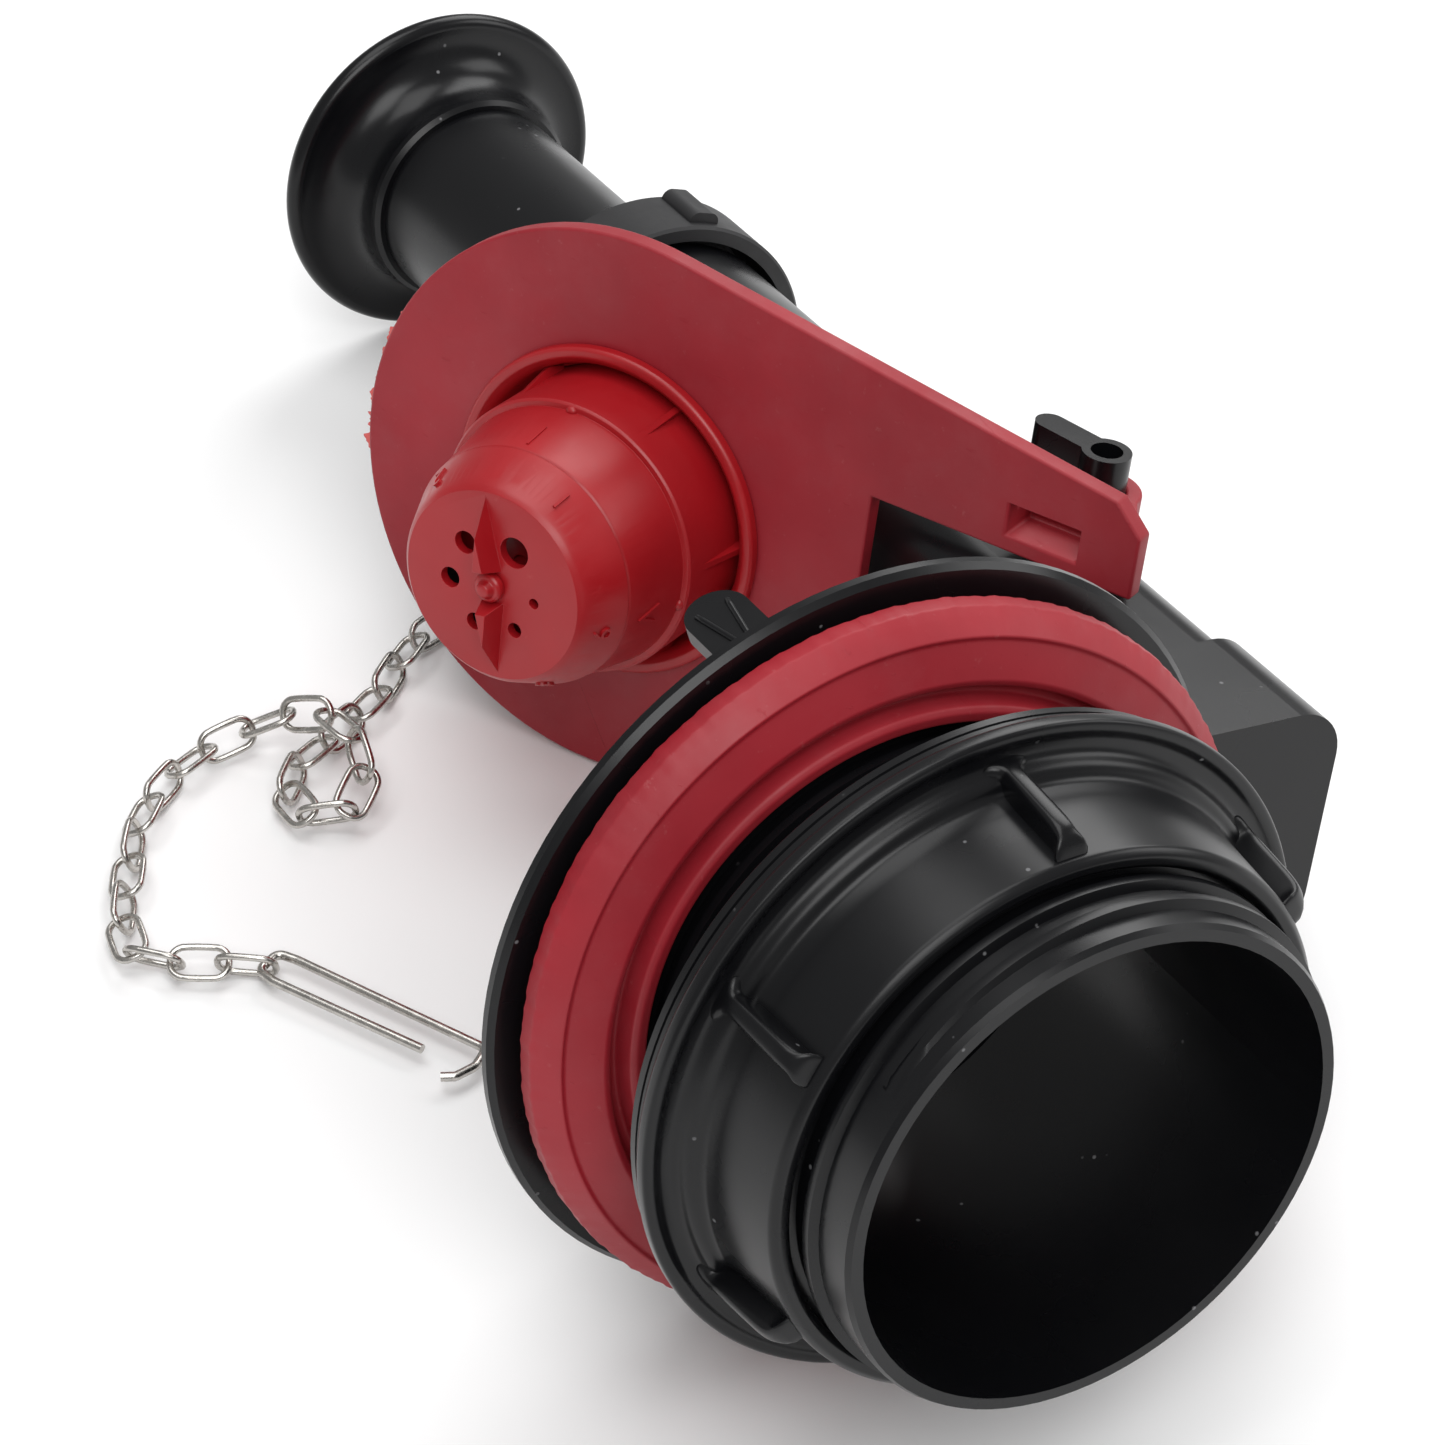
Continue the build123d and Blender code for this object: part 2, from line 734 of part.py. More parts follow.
# ---- gasket, washer and locknut ------------------------------------------------------------------
gasket_tilt = math.radians(gasket_lean)
gasket_axis_dir = Vector(
    -math.sin(gasket_tilt) * math.cos(math.radians(48)),
    -math.sin(gasket_tilt) * math.sin(math.radians(48)),
    -math.cos(gasket_tilt),
)
gasket_plane = Plane(origin=(0, 0, -gasket_place), x_dir=(1, 0, 0), z_dir=gasket_axis_dir)
with BuildPart() as tank_gasket:
    with BuildSketch(section_plane(gasket_plane)):
        with BuildLine():
            Polyline(
                (gasket_bore_radius, 0),
                (gasket_radius, 0),
                (gasket_radius, gasket_back),
                (gasket_bevel_radius, gasket_bevel),
                (gasket_face_radius, gasket_face),
                (gasket_face_radius - 0.8, gasket_face),
                (gasket_face_radius - 0.8, gasket_groove),
                (gasket_ridge_radius, gasket_groove),
                (gasket_ridge_radius - 0.6, gasket_face + 0.6),
                (gasket_bore_radius + 0.6, gasket_face + 0.6),
                (gasket_bore_radius, gasket_face),
                close=True,
            )
        make_face()
    revolve(axis=Axis(gasket_plane.origin, gasket_plane.z_dir))
save(tank_gasket.part, "tank_gasket")

washer_bottom = -nut_flange_place + nut_flange_thickness + 0.1
slip_radius = shank_radius + thread_height + nut_bore_clearance
with BuildPart() as slip_washer:
    with BuildSketch(Plane.XZ):
        with BuildLine():
            Polyline(
                (slip_radius, washer_bottom),
                (washer_radius, washer_bottom),
                (washer_radius, washer_bottom + washer_thickness / 2 - washer_groove / 2),
                (washer_radius - washer_groove, washer_bottom + washer_thickness / 2),
                (washer_radius, washer_bottom + washer_thickness / 2 + washer_groove / 2),
                (washer_radius, washer_bottom + washer_thickness - 0.8),
                (washer_radius - 0.8, washer_bottom + washer_thickness),
                (slip_radius, washer_bottom + washer_thickness),
                close=True,
            )
        make_face()
    revolve(axis=Axis.Z)
save(slip_washer.part, "slip_washer")

nut_back = -nut_flange_place + nut_flange_thickness
nut_front = nut_back - nut_height
with BuildPart() as locknut:
    with BuildSketch(Plane.XZ):
        with BuildLine():
            Polyline(
                (slip_radius, nut_back),
                (nut_flange_radius - 0.8, nut_back),
                (nut_flange_radius, nut_back - 0.8),
                (nut_flange_radius, nut_back - nut_flange_thickness + 0.8),
                (nut_flange_radius - 0.8, nut_back - nut_flange_thickness),
                (nut_hub_radius + 1.5, nut_back - nut_flange_thickness - 0.4),
                (nut_hub_radius, nut_back - nut_flange_thickness - 2.0),
                (nut_end_radius, nut_front + 0.8),
                (nut_end_radius - 0.8, nut_front),
                (slip_radius, nut_front),
                close=True,
            )
        make_face()
    revolve(axis=Axis.Z)
    with BuildSketch(Plane.XZ):
        with BuildLine():
            Polyline(
                (nut_end_radius - 2.0, nut_back - 1.0),
                (nut_lug_radius, nut_back - 1.0),
                (nut_lug_radius, nut_front + 6.0),
                (nut_lug_end_radius, nut_front + 1.2),
                (nut_end_radius - 2.0, nut_front + 1.2),
                close=True,
            )
        make_face()
    lug = extrude(amount=nut_lug_thickness / 2, both=True, mode=Mode.PRIVATE)
    for turn in range(nut_lug_count):
        add(lug.rotate(Axis.Z, nut_lug_angle + turn * 360 / nut_lug_count))
save(locknut.part, "locknut")

# ---- surface under the flange, the funnel rim and the flapper's edge, on which the valve rests ----


def lowest_point(centre, axis_dir, radius, up):
    """Lowest point of a rim, for an upward direction."""
    level = up - axis_dir * up.dot(axis_dir)
    return centre - level.normalized() * radius


valve_dir = Vector(0, 0, 1)
rims = (
    (Vector(0, 0, flange_thickness / 2), valve_dir, flange_radius),
    (Vector(tube_x, 0, funnel_top - funnel_lip), valve_dir, funnel_rim_radius),
    (flap.origin - flap.z_dir * flapper_thickness, flap.z_dir, flapper_radius),
)
rest_up = Vector(-0.2, -1, 0).normalized()
for settling in range(60):
    feet = [lowest_point(*rim, rest_up) for rim in rims]
    rest_up = (feet[1] - feet[0]).cross(feet[2] - feet[0]).normalized()
    if rest_up.Y > 0:
        rest_up = -rest_up
table = Plane(
    origin=rest_up * feet[0].dot(rest_up),
    x_dir=valve_dir - rest_up * rest_up.Z,
    z_dir=rest_up,
)

# ---- chain -----------------------------------------------------------------------------------------
ring_middle = post_eye - flap.y_dir * chain_ring_radius
with BuildPart() as chain_ring:
    with BuildSketch(Plane(origin=post_eye, x_dir=flap.y_dir, z_dir=flap.x_dir)):
        Circle(chain_ring_wire / 2)
    revolve(axis=Axis(ring_middle, flap.z_dir))
save(chain_ring.part, "chain_ring")


def share_a_step_on(path, start_share, step):
    """Share of the path that lies a straight step on from the point at start_share."""
    start = path @ start_share
    near = start_share
    far = min(1.0, start_share + 1.6 * step / path.length)
    for halving in range(24):
        middle = (near + far) / 2
        if (path @ middle - start).length < step:
            near = middle
        else:
            far = middle
    return near


# the route begins where the first link bears on the ring, and the links meet a pitch apart along it
link_pitch = link_length - 2 * link_wire - link_play
ring_drop = 2 * chain_ring_radius - chain_ring_wire / 2 - link_play / 2
first_meeting = table.to_local_coords(post_eye - flap.y_dir * ring_drop)
with BuildLine() as route:
    Spline(first_meeting, *chain_route)
route_line = route.wire().edges()[0]
straight = link_length - link_width
bend = (link_width - link_wire) / 2
with BuildPart() as one_link:
    with BuildLine(Plane.XY):
        wire_side = Polyline((-straight / 2, bend), (straight / 2, bend))
        RadiusArc(wire_side @ 1, (straight / 2, -bend), bend)
        Line((straight / 2, -bend), (-straight / 2, -bend))
        RadiusArc((-straight / 2, -bend), (-straight / 2, bend), bend)
    with BuildSketch(Plane(origin=(0, bend, 0), x_dir=(0, 1, 0), z_dir=(1, 0, 0))):
        Circle(link_wire / 2)
    sweep()

links = []
share = 0.0
ring_wire_dir = flap.x_dir
normal = Vector(*(ring_wire_dir.dot(way) for way in (table.x_dir, table.y_dir, table.z_dir)))
for turn in range(link_count):
    next_share = share_a_step_on(route_line, share, link_pitch)
    from_here = route_line @ share
    to_there = route_line @ next_share
    heading = (to_there - from_here).normalized()
    normal = (normal - heading * normal.dot(heading)).normalized()
    roll = link_roll * min(1, turn / link_roll_spread) + 90 * (turn % 2)
    face = normal.rotate(Axis((0, 0, 0), heading), roll)
    link_plane = Plane(origin=(from_here + to_there) / 2, x_dir=heading, z_dir=face)
    links.append(table.location * link_plane.location * one_link.part)
    share = next_share
chain_links = Compound(children=links)
save(chain_links, "chain_links")

# ---- snap clip on the chain's end: an eye, a main arm with a hook, and a sprung arm ended in the hook ----
chain_end = route_line @ share
eye_middle = chain_end + heading * (clip_eye_radius - clip_wire / 2 - link_play / 2)
clip_turn = math.radians(clip_heading)
clip_flat = Plane(
    origin=(eye_middle.X, eye_middle.Y, clip_height),
    x_dir=(math.cos(clip_turn), math.sin(clip_turn), 0),
    z_dir=(0, 0, 1),
)
clip_plane = Plane(table.location * clip_flat.location)
nose = clip_length - clip_eye_radius
half = clip_width / 2
with BuildPart() as chain_clip:
    with BuildLine(clip_plane):
        clip_path = FilletPolyline(
            (nose - 4.5, -half + 3.5),
            (0.5, -clip_eye_radius),
            (-clip_eye_radius, -clip_eye_radius + 0.6),
            (-clip_eye_radius, clip_eye_radius - 0.6),
            (0.5, clip_eye_radius),
            (nose + 4.0, half),
            (nose + 5.0, half - 4.2),
            (nose + 3.8, -half + 1.7),
            (nose + 1.9, -half + 0.2),
            radius=(2.6, 1.6, 1.6, 2.6, 1.6, 2.4, 0.9),
        )
    with BuildSketch(Plane(origin=clip_path @ 0, z_dir=clip_path % 0)):
        Circle(clip_wire / 2)
    sweep()
save(chain_clip.part, "chain_clip")
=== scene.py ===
"""Looks of a toilet-tank flush valve that lies on a pale floor, its flapper open and its chain beside it."""

import json
import math

import bmesh
import bpy
import numpy as np
from bpy.props import FloatProperty, FloatVectorProperty, IntProperty, PointerProperty
from mathutils import Matrix, Vector

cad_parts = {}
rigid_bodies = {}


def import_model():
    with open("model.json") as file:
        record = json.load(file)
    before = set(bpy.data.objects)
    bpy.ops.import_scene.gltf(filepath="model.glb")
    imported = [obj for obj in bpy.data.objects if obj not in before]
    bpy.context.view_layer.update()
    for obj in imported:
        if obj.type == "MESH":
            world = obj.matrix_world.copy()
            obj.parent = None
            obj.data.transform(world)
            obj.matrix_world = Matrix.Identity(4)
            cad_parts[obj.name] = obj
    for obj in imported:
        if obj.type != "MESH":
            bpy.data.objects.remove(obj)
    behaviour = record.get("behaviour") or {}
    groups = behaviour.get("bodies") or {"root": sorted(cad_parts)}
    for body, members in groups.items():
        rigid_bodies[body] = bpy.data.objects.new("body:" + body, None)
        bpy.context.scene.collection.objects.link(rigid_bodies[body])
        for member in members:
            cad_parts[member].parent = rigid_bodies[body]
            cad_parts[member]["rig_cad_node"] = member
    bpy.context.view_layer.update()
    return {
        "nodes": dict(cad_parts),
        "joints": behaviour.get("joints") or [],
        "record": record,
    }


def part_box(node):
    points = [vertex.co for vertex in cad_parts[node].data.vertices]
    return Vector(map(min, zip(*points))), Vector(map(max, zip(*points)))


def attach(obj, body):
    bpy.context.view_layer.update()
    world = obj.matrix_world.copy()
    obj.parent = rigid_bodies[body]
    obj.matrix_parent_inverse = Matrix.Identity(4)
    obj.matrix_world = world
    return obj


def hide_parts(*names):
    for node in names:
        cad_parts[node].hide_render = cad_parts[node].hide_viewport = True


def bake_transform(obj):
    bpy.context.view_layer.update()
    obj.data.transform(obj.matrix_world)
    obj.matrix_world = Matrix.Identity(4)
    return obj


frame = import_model()

bl_info = {
    "name": "Flush Valve",
    "version": (1, 0, 0),
    "blender": (4, 5, 0),
    "location": "View3D > Sidebar > Flush Valve",
    "description": "Builds the visible surfaces of a toilet-tank flush valve on its packed frame",
    "category": "Add Mesh",
}

MM = 0.001
SHARE_CUT = 0.45
BORE_MIDDLE = 31.6
DIAL_MIDDLE = 30.0
TAB_HEADING = math.radians(-113)
TAB_FACE = 53.2
THREAD_PITCH = 5.0
SHANK_RADIUS = 41.0
FLAPPER_RADIUS = 49.75
CONE = ((21.1, 26.8), (17.7, 34.4))
CUP = ((23.3, 13.5), (21.1, 26.4))


# ---- places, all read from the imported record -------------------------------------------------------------
def unit(vector):
    """The vector at length one."""
    vector = np.array(vector, float)
    return vector / np.linalg.norm(vector)


def joint(name):
    """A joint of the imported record."""
    return next(j for j in frame["joints"] if j["name"] == name)


def mount(name):
    """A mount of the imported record."""
    return next(m for m in frame["record"]["mounts"] if m["name"] == name)


class Axes:
    """A local frame in millimetres: its origin in metres and its three unit directions in the row frame."""

    def __init__(self, origin, x, y, z):
        self.origin = np.array(origin, float)
        self.turn = np.array([unit(x), unit(y), unit(z)])

    def place(self, points):
        """Points of any array shape (..., 3) in millimetres, carried into the row frame in metres."""
        return self.origin + (np.asarray(points, float) * MM) @ self.turn

    def direction(self, vector):
        """A direction of this frame in the row frame."""
        return np.asarray(vector, float) @ self.turn


outlet = mount("outlet_bore")
valve_z = -unit(outlet["axis"])
valve_y = -unit(joint("flapper_hinge")["axis"])
valve_x = np.cross(valve_y, valve_z)
VALVE = Axes(np.array(outlet["pos_m"]) + BORE_MIDDLE * MM * valve_z, valve_x, valve_y, valve_z)
cup_z = unit(joint("dial_turn")["axis"])
cup_y = -valve_y
cup_origin = np.array(joint("dial_turn")["pos_m"]) - DIAL_MIDDLE * MM * cup_z
FLAP = Axes(cup_origin, np.cross(cup_y, cup_z), cup_y, cup_z)
GASKET_LEAN = math.radians(4.5)
GASKET_HEADING = math.radians(48)
gasket_z = VALVE.direction(
    (
        -math.sin(GASKET_LEAN) * math.cos(GASKET_HEADING),
        -math.sin(GASKET_LEAN) * math.sin(GASKET_HEADING),
        -math.cos(GASKET_LEAN),
    )
)
gasket_x = unit(valve_x - gasket_z * np.dot(valve_x, gasket_z))
GASKET = Axes(VALVE.place((0, 0, -6.0)), gasket_x, np.cross(gasket_z, gasket_x), gasket_z)


# ---- sizes and colours that a user may change --------------------------------------------------------------
def size(label, description, default):
    """A length in millimetres."""
    return FloatProperty(name=label, description=description, default=default, min=0.0)


def colour(label, description, default):
    """A linear colour."""
    return FloatVectorProperty(
        name=label, description=description, default=default, subtype="COLOR", size=3, min=0.0, max=1.0
    )


class FLUSH_finishes(bpy.types.PropertyGroup):
    """Colours of the valve's finishes."""

    black: colour("Black", "Glossy moulded plastic", (0.0035, 0.0036, 0.0044))
    soft_black: colour("Soft black", "Matt moulded collar", (0.010, 0.010, 0.011))
    rubber: colour("Red rubber", "Flapper and gasket", (0.33, 0.014, 0.024))
    rubber_deep: colour("Deep red rubber", "Darker patches of the rubber", (0.26, 0.010, 0.018))
    plastic: colour("Red plastic", "Cup, ring and dial", (0.40, 0.008, 0.013))
    steel: colour("Steel", "Nickel-plated wire", (0.60, 0.575, 0.54))


class FLUSH_sizes(bpy.types.PropertyGroup):
    """Sizes of the pieces that are made here, in millimetres."""

    nut_bore: size("Nut bore", "Radius inside the locknut", 42.6)
    nut_flange: size("Nut flange", "Radius of the locknut's flange", 55.4)
    nut_back: size("Nut back", "Distance of the flange's back below the tank face", 29.5)
    nut_height: size("Nut height", "Height of the locknut", 21.8)
    nut_hub: size("Nut hub", "Radius of the hub at its end", 45.8)
    lug_reach: size("Lug reach", "Outer radius of the grip lugs", 51.5)
    lug_count: IntProperty(name="Lugs", description="Number of grip lugs", default=6, min=3, max=12)
    gasket_radius: size("Gasket radius", "Outer radius of the tank gasket", 59.6)
    gasket_bore: size("Gasket bore", "Inner radius of the tank gasket", 43.6)
    link_wire: size("Link wire", "Wire thickness of a chain link", 1.2)
    link_length: size("Link length", "Outer length of a chain link", 11.0)
    link_width: size("Link width", "Outer width of a chain link", 6.8)
    link_count: IntProperty(
        name="Links", description="Number of links in the chain", default=32, min=4, max=80
    )
    digit_height: size("Digit height", "Height of the numbers around the dial", 5.2)


def sizes():
    """The scene's sizes."""
    return bpy.context.scene.flush_sizes


def finishes():
    """The scene's colours."""
    return bpy.context.scene.flush_finishes


# ---- surfaces ------------------------------------------------------------------------------------------
def grid_faces(rows, columns, around_rows, around_columns):
    """Quads of a grid of points, as an array: each joins a point to its next row and next column, and goes
    round the end where rows or columns close."""
    i = np.arange(rows if around_rows else rows - 1)
    j = np.arange(columns if around_columns else columns - 1)
    a, b = np.meshgrid(i, j, indexing="ij")
    up, on = (a + 1) % rows, (b + 1) % columns
    corners = (a * columns + b, up * columns + b, up * columns + on, a * columns + on)
    return np.stack(corners, -1).reshape(-1, 4)


def grid_piece(name, points, around_rows=True, around_columns=True, cap=False):
    """An object from a stack of grids (copies, rows, columns, 3) in metres, its faces turned outwards."""
    points = np.asarray(points, float)
    if points.ndim == 3:
        points = points[None]
    copies, rows, columns, _ = points.shape
    quads = grid_faces(rows, columns, around_rows, around_columns)
    quads = (quads[None] + (np.arange(copies) * rows * columns)[:, None, None]).reshape(-1, 4)
    mesh = bpy.data.meshes.new(name)
    mesh.from_pydata(points.reshape(-1, 3), [], quads)
    body = bmesh.new()
    body.from_mesh(mesh)
    bmesh.ops.remove_doubles(body, verts=body.verts, dist=2e-6)
    if cap:
        bmesh.ops.holes_fill(body, edges=body.edges, sides=0)
    bmesh.ops.recalc_face_normals(body, faces=body.faces)
    body.to_mesh(mesh)
    body.free()
    mesh.validate()
    piece = bpy.data.objects.new(name, mesh)
    bpy.context.scene.collection.objects.link(piece)
    mesh.shade_smooth()
    return piece


def soften(outline, cut, steps=4):
    """A closed profile with its corners rounded: each becomes a quadratic arc between points a cut away on
    its two sides. The cut is at most SHARE_CUT of the shorter side. The arc is
    (1-t)^2 a + 2t(1-t) corner + t^2 b."""
    outline = np.asarray(outline, float)
    before, after = np.roll(outline, 1, 0), np.roll(outline, -1, 0)
    back, fore = before - outline, after - outline
    back_length = np.linalg.norm(back, axis=1, keepdims=True)
    fore_length = np.linalg.norm(fore, axis=1, keepdims=True)
    wanted = np.broadcast_to(np.reshape(cut, (-1, 1)), back_length.shape)
    reach = np.minimum(wanted, SHARE_CUT * np.minimum(back_length, fore_length))
    start, end = outline + back / back_length * reach, outline + fore / fore_length * reach
    t = np.linspace(0, 1, steps)[None, :, None]
    arcs = (1 - t) ** 2 * start[:, None] + 2 * t * (1 - t) * outline[:, None] + t**2 * end[:, None]
    return arcs.reshape(-1, outline.shape[1])


def turned(axes, profile, segments=160, ripple=None):
    """Points of a turned surface: a profile of (radius, height) carried round the axis, with
    ripple(angle, profile) added to the radius where it is given. Row i is at angle 2 pi i / segments."""
    profile = np.asarray(profile, float)
    angle = np.linspace(0, 2 * math.pi, segments, endpoint=False)[:, None]
    radius = np.broadcast_to(profile[:, 0], (segments, len(profile)))
    if ripple is not None:
        radius = radius + ripple(angle, profile[None])
    height = np.broadcast_to(profile[:, 1], radius.shape)
    return axes.place(np.stack((radius * np.cos(angle), radius * np.sin(angle), height), -1))


def eased(node, width, name, angle=32):
    """A copy of a CAD node with its edges rounded by a Bevel, standing for that node."""
    source = frame["nodes"][node]
    mesh = source.data.copy()
    mesh.materials.clear()
    body = bmesh.new()
    body.from_mesh(mesh)
    bmesh.ops.remove_doubles(body, verts=body.verts, dist=1e-6)
    bmesh.ops.dissolve_limit(
        body, angle_limit=math.radians(0.6), verts=body.verts, edges=body.edges, use_dissolve_boundaries=False
    )
    body.to_mesh(mesh)
    body.free()
    if mesh.attributes.get("custom_normal"):
        mesh.attributes.remove(mesh.attributes["custom_normal"])
    piece = bpy.data.objects.new(name, mesh)
    bpy.context.scene.collection.objects.link(piece)
    bevel = piece.modifiers.new("eased edges", "BEVEL")
    bevel.width = width * MM
    bevel.segments = 3
    bevel.limit_method = "ANGLE"
    bevel.angle_limit = math.radians(angle)
    bevel.use_clamp_overlap = True
    bevel.harden_normals = False
    mesh.shade_smooth()
    mesh.set_sharp_from_angle(angle=math.radians(50))
    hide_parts(node)
    return piece


# ---- materials -----------------------------------------------------------------------------------------
class Flow:
    """One output of a shader node. Sums and products with it add Math nodes."""

    def __init__(self, tree, socket):
        self.tree = tree
        self.socket = socket

    def maths(self, operation, first, second):
        return add_node(self.tree, "ShaderNodeMath", {"operation": operation}, {0: first, 1: second})

    def __add__(self, other):
        return self.maths("ADD", self, other)

    __radd__ = __add__

    def __mul__(self, other):
        return self.maths("MULTIPLY", self, other)

    __rmul__ = __mul__


def add_node(tree, kind, settings=None, values=None, output=0):
    """Adds a node: its settings first, then its sockets' values or links. Returns one of its outputs."""
    node = tree.nodes.new(kind)
    for key, value in (settings or {}).items():
        setattr(node, key, value)
    for key, value in (values or {}).items():
        if isinstance(value, Flow):
            tree.links.new(value.socket, node.inputs[key])
        else:
            node.inputs[key].default_value = value
    return Flow(tree, node.outputs[output])


def new_finish(name, slot, roughness, **constants):
    """A material with a Principled shader, its record slot, and its constant sockets set."""
    material = bpy.data.materials.new(name)
    material.use_nodes = True
    tree = material.node_tree
    shader = tree.nodes["Principled BSDF"]
    shader.inputs["Roughness"].default_value = roughness
    for key, value in constants.items():
        shader.inputs[key.replace("_", " ")].default_value = value
    material["record_slot"] = slot
    return material, tree, shader


def noise(tree, scale, detail=3.0, roughness=0.55, stretch=(1, 1, 1)):
    """Noise on Object coordinates, its scale in cells per metre, stretched along the three axes."""
    place = add_node(tree, "ShaderNodeTexCoord", output=3)
    mapped = add_node(tree, "ShaderNodeMapping", {}, {"Vector": place, "Scale": stretch})
    return add_node(
        tree,
        "ShaderNodeTexNoise",
        {},
        {"Vector": mapped, "Scale": scale, "Detail": detail, "Roughness": roughness},
    )


def ramp(tree, value, low, high, start=0.0, end=1.0):
    """A value carried from low..high to start..end, held at both ends."""
    return add_node(
        tree,
        "ShaderNodeMapRange",
        {"clamp": True},
        {"Value": value, "From Min": low, "From Max": high, "To Min": start, "To Max": end},
    )


def mixed(tree, share, first, second):
    """A mix of two colours or colour flows."""
    node = tree.nodes.new("ShaderNodeMix")
    node.data_type = "RGBA"
    for socket, value in ((node.inputs[0], share), (node.inputs[6], first), (node.inputs[7], second)):
        if isinstance(value, Flow):
            tree.links.new(value.socket, socket)
        else:
            socket.default_value = (*value, 1.0) if isinstance(value, tuple) and len(value) == 3 else value
    return Flow(tree, node.outputs[2])


def bumped(tree, shader, height, distance, strength=1.0):
    """Feeds a height, in shares of distance millimetres, to the shader's normal."""
    normal = add_node(
        tree, "ShaderNodeBump", {}, {"Height": height, "Distance": distance * MM, "Strength": strength}
    )
    tree.links.new(normal.socket, shader.inputs["Normal"])


def wire_up(tree, shader, key, flow):
    """Links a flow to one of the shader's sockets."""
    tree.links.new(flow.socket, shader.inputs[key])


def dust(tree, scale, size_share):
    """Sparse specks: cells of a Voronoi pattern where the distance to the cell's point is small."""
    place = add_node(tree, "ShaderNodeTexCoord", output=3)
    near = add_node(tree, "ShaderNodeTexVoronoi", {}, {"Vector": place, "Scale": scale})
    kept = ramp(tree, noise(tree, scale * 0.31, 1.0), 0.60, 0.66)
    return ramp(tree, near, size_share, size_share * 0.6) * kept


def black_plastic():
    """Glossy black plastic: a faint mould ripple, patches of slightly duller gloss and sparse dust."""
    material, tree, shader = new_finish("black plastic", "black_plastic", 0.2)
    shader.inputs["Specular IOR Level"].default_value = 0.32
    tone = tuple(finishes().black)
    speck = dust(tree, 260.0, 0.10)
    wire_up(tree, shader, "Base Color", mixed(tree, speck * 0.5, tone, (0.30, 0.30, 0.31)))
    duller = ramp(tree, noise(tree, 34.0, 4.0), 0.35, 0.7, 0.24, 0.34)
    wire_up(tree, shader, "Roughness", duller + speck * 0.3)
    bumped(tree, shader, noise(tree, 420.0, 2.0) * 0.6 + noise(tree, 60.0, 1.0) * 0.7, 0.012, 0.8)
    return material


def soft_black_plastic():
    """Matt black plastic with a fine grain."""
    material, tree, shader = new_finish("matt black plastic", "matt_black_plastic", 0.55)
    tone = tuple(finishes().soft_black)
    cloud = ramp(tree, noise(tree, 90.0), 0.3, 0.7)
    wire_up(tree, shader, "Base Color", mixed(tree, cloud, tone, tuple(c * 1.5 for c in tone)))
    wire_up(tree, shader, "Roughness", ramp(tree, noise(tree, 150.0), 0.3, 0.7, 0.48, 0.62))
    bumped(tree, shader, noise(tree, 1500.0, 2.0), 0.02, 0.7)
    return material


def black_rubber():
    """Matt black rubber."""
    material, tree, shader = new_finish("black rubber", "black_rubber", 0.7)
    base = mixed(tree, noise(tree, 80.0), (0.012, 0.012, 0.012), (0.03, 0.03, 0.03))
    wire_up(tree, shader, "Base Color", base)
    bumped(tree, shader, noise(tree, 900.0), 0.03)
    return material


def red_rubber():
    """Red rubber: cloudy red with a grey bloom, faint scuffs in two directions, and a fine uneven skin."""
    material, tree, shader = new_finish("red rubber", "red_rubber", 0.5)
    shader.inputs["Specular IOR Level"].default_value = 0.4
    tone, deep = tuple(finishes().rubber), tuple(finishes().rubber_deep)
    cloud = ramp(tree, noise(tree, 26.0, 5.0, 0.6), 0.35, 0.68)
    base = mixed(tree, cloud, tone, deep)
    bloom = ramp(tree, noise(tree, 46.0, 6.0, 0.7), 0.48, 0.8, 0.0, 0.22)
    base = mixed(tree, bloom, base, (0.34, 0.085, 0.095))
    scuff = ramp(tree, noise(tree, 60.0, 3.0, 0.6, (1.0, 9.0, 14.0)), 0.66, 0.74)
    base = mixed(tree, scuff * 0.35, base, deep)
    grain = noise(tree, 520.0, 3.0, 0.7)
    base = mixed(tree, ramp(tree, grain, 0.66, 0.8, 0.0, 0.35), base, (0.42, 0.14, 0.14))
    wire_up(tree, shader, "Base Color", base)
    wire_up(tree, shader, "Roughness", ramp(tree, noise(tree, 70.0, 4.0), 0.3, 0.7, 0.42, 0.62) + scuff * 0.1)
    bumped(tree, shader, grain * 0.6 + scuff * 0.6 + noise(tree, 110.0, 2.0) * 0.8, 0.05, 0.8)
    return material


def red_plastic():
    """Red moulded plastic: even, satin, with a few pale rub marks."""
    material, tree, shader = new_finish("red plastic", "red_plastic", 0.35)
    tone = tuple(finishes().plastic)
    rub = ramp(tree, noise(tree, 300.0, 4.0, 0.7), 0.66, 0.8)
    base = mixed(tree, ramp(tree, noise(tree, 40.0), 0.3, 0.7), tone, tuple(c * 0.82 for c in tone))
    wire_up(tree, shader, "Base Color", mixed(tree, rub * 0.25, base, (0.55, 0.16, 0.15)))
    wire_up(tree, shader, "Roughness", ramp(tree, noise(tree, 120.0, 4.0), 0.3, 0.7, 0.30, 0.42) + rub * 0.15)
    bumped(tree, shader, noise(tree, 700.0, 2.0) + rub * 0.3, 0.02, 0.7)
    return material


def steel_wire():
    """Nickel-plated wire with fine drawing marks."""
    material, tree, shader = new_finish("steel wire", "steel", 0.25, Metallic=1.0)
    tone = tuple(finishes().steel)
    streak = ramp(tree, noise(tree, 500.0), 0.3, 0.7)
    wire_up(tree, shader, "Base Color", mixed(tree, streak, tone, tuple(c * 0.7 for c in tone)))
    wire_up(tree, shader, "Roughness", ramp(tree, noise(tree, 900.0, 3.0), 0.3, 0.7, 0.16, 0.34))
    bumped(tree, shader, noise(tree, 2400.0, 2.0), 0.012)
    return material


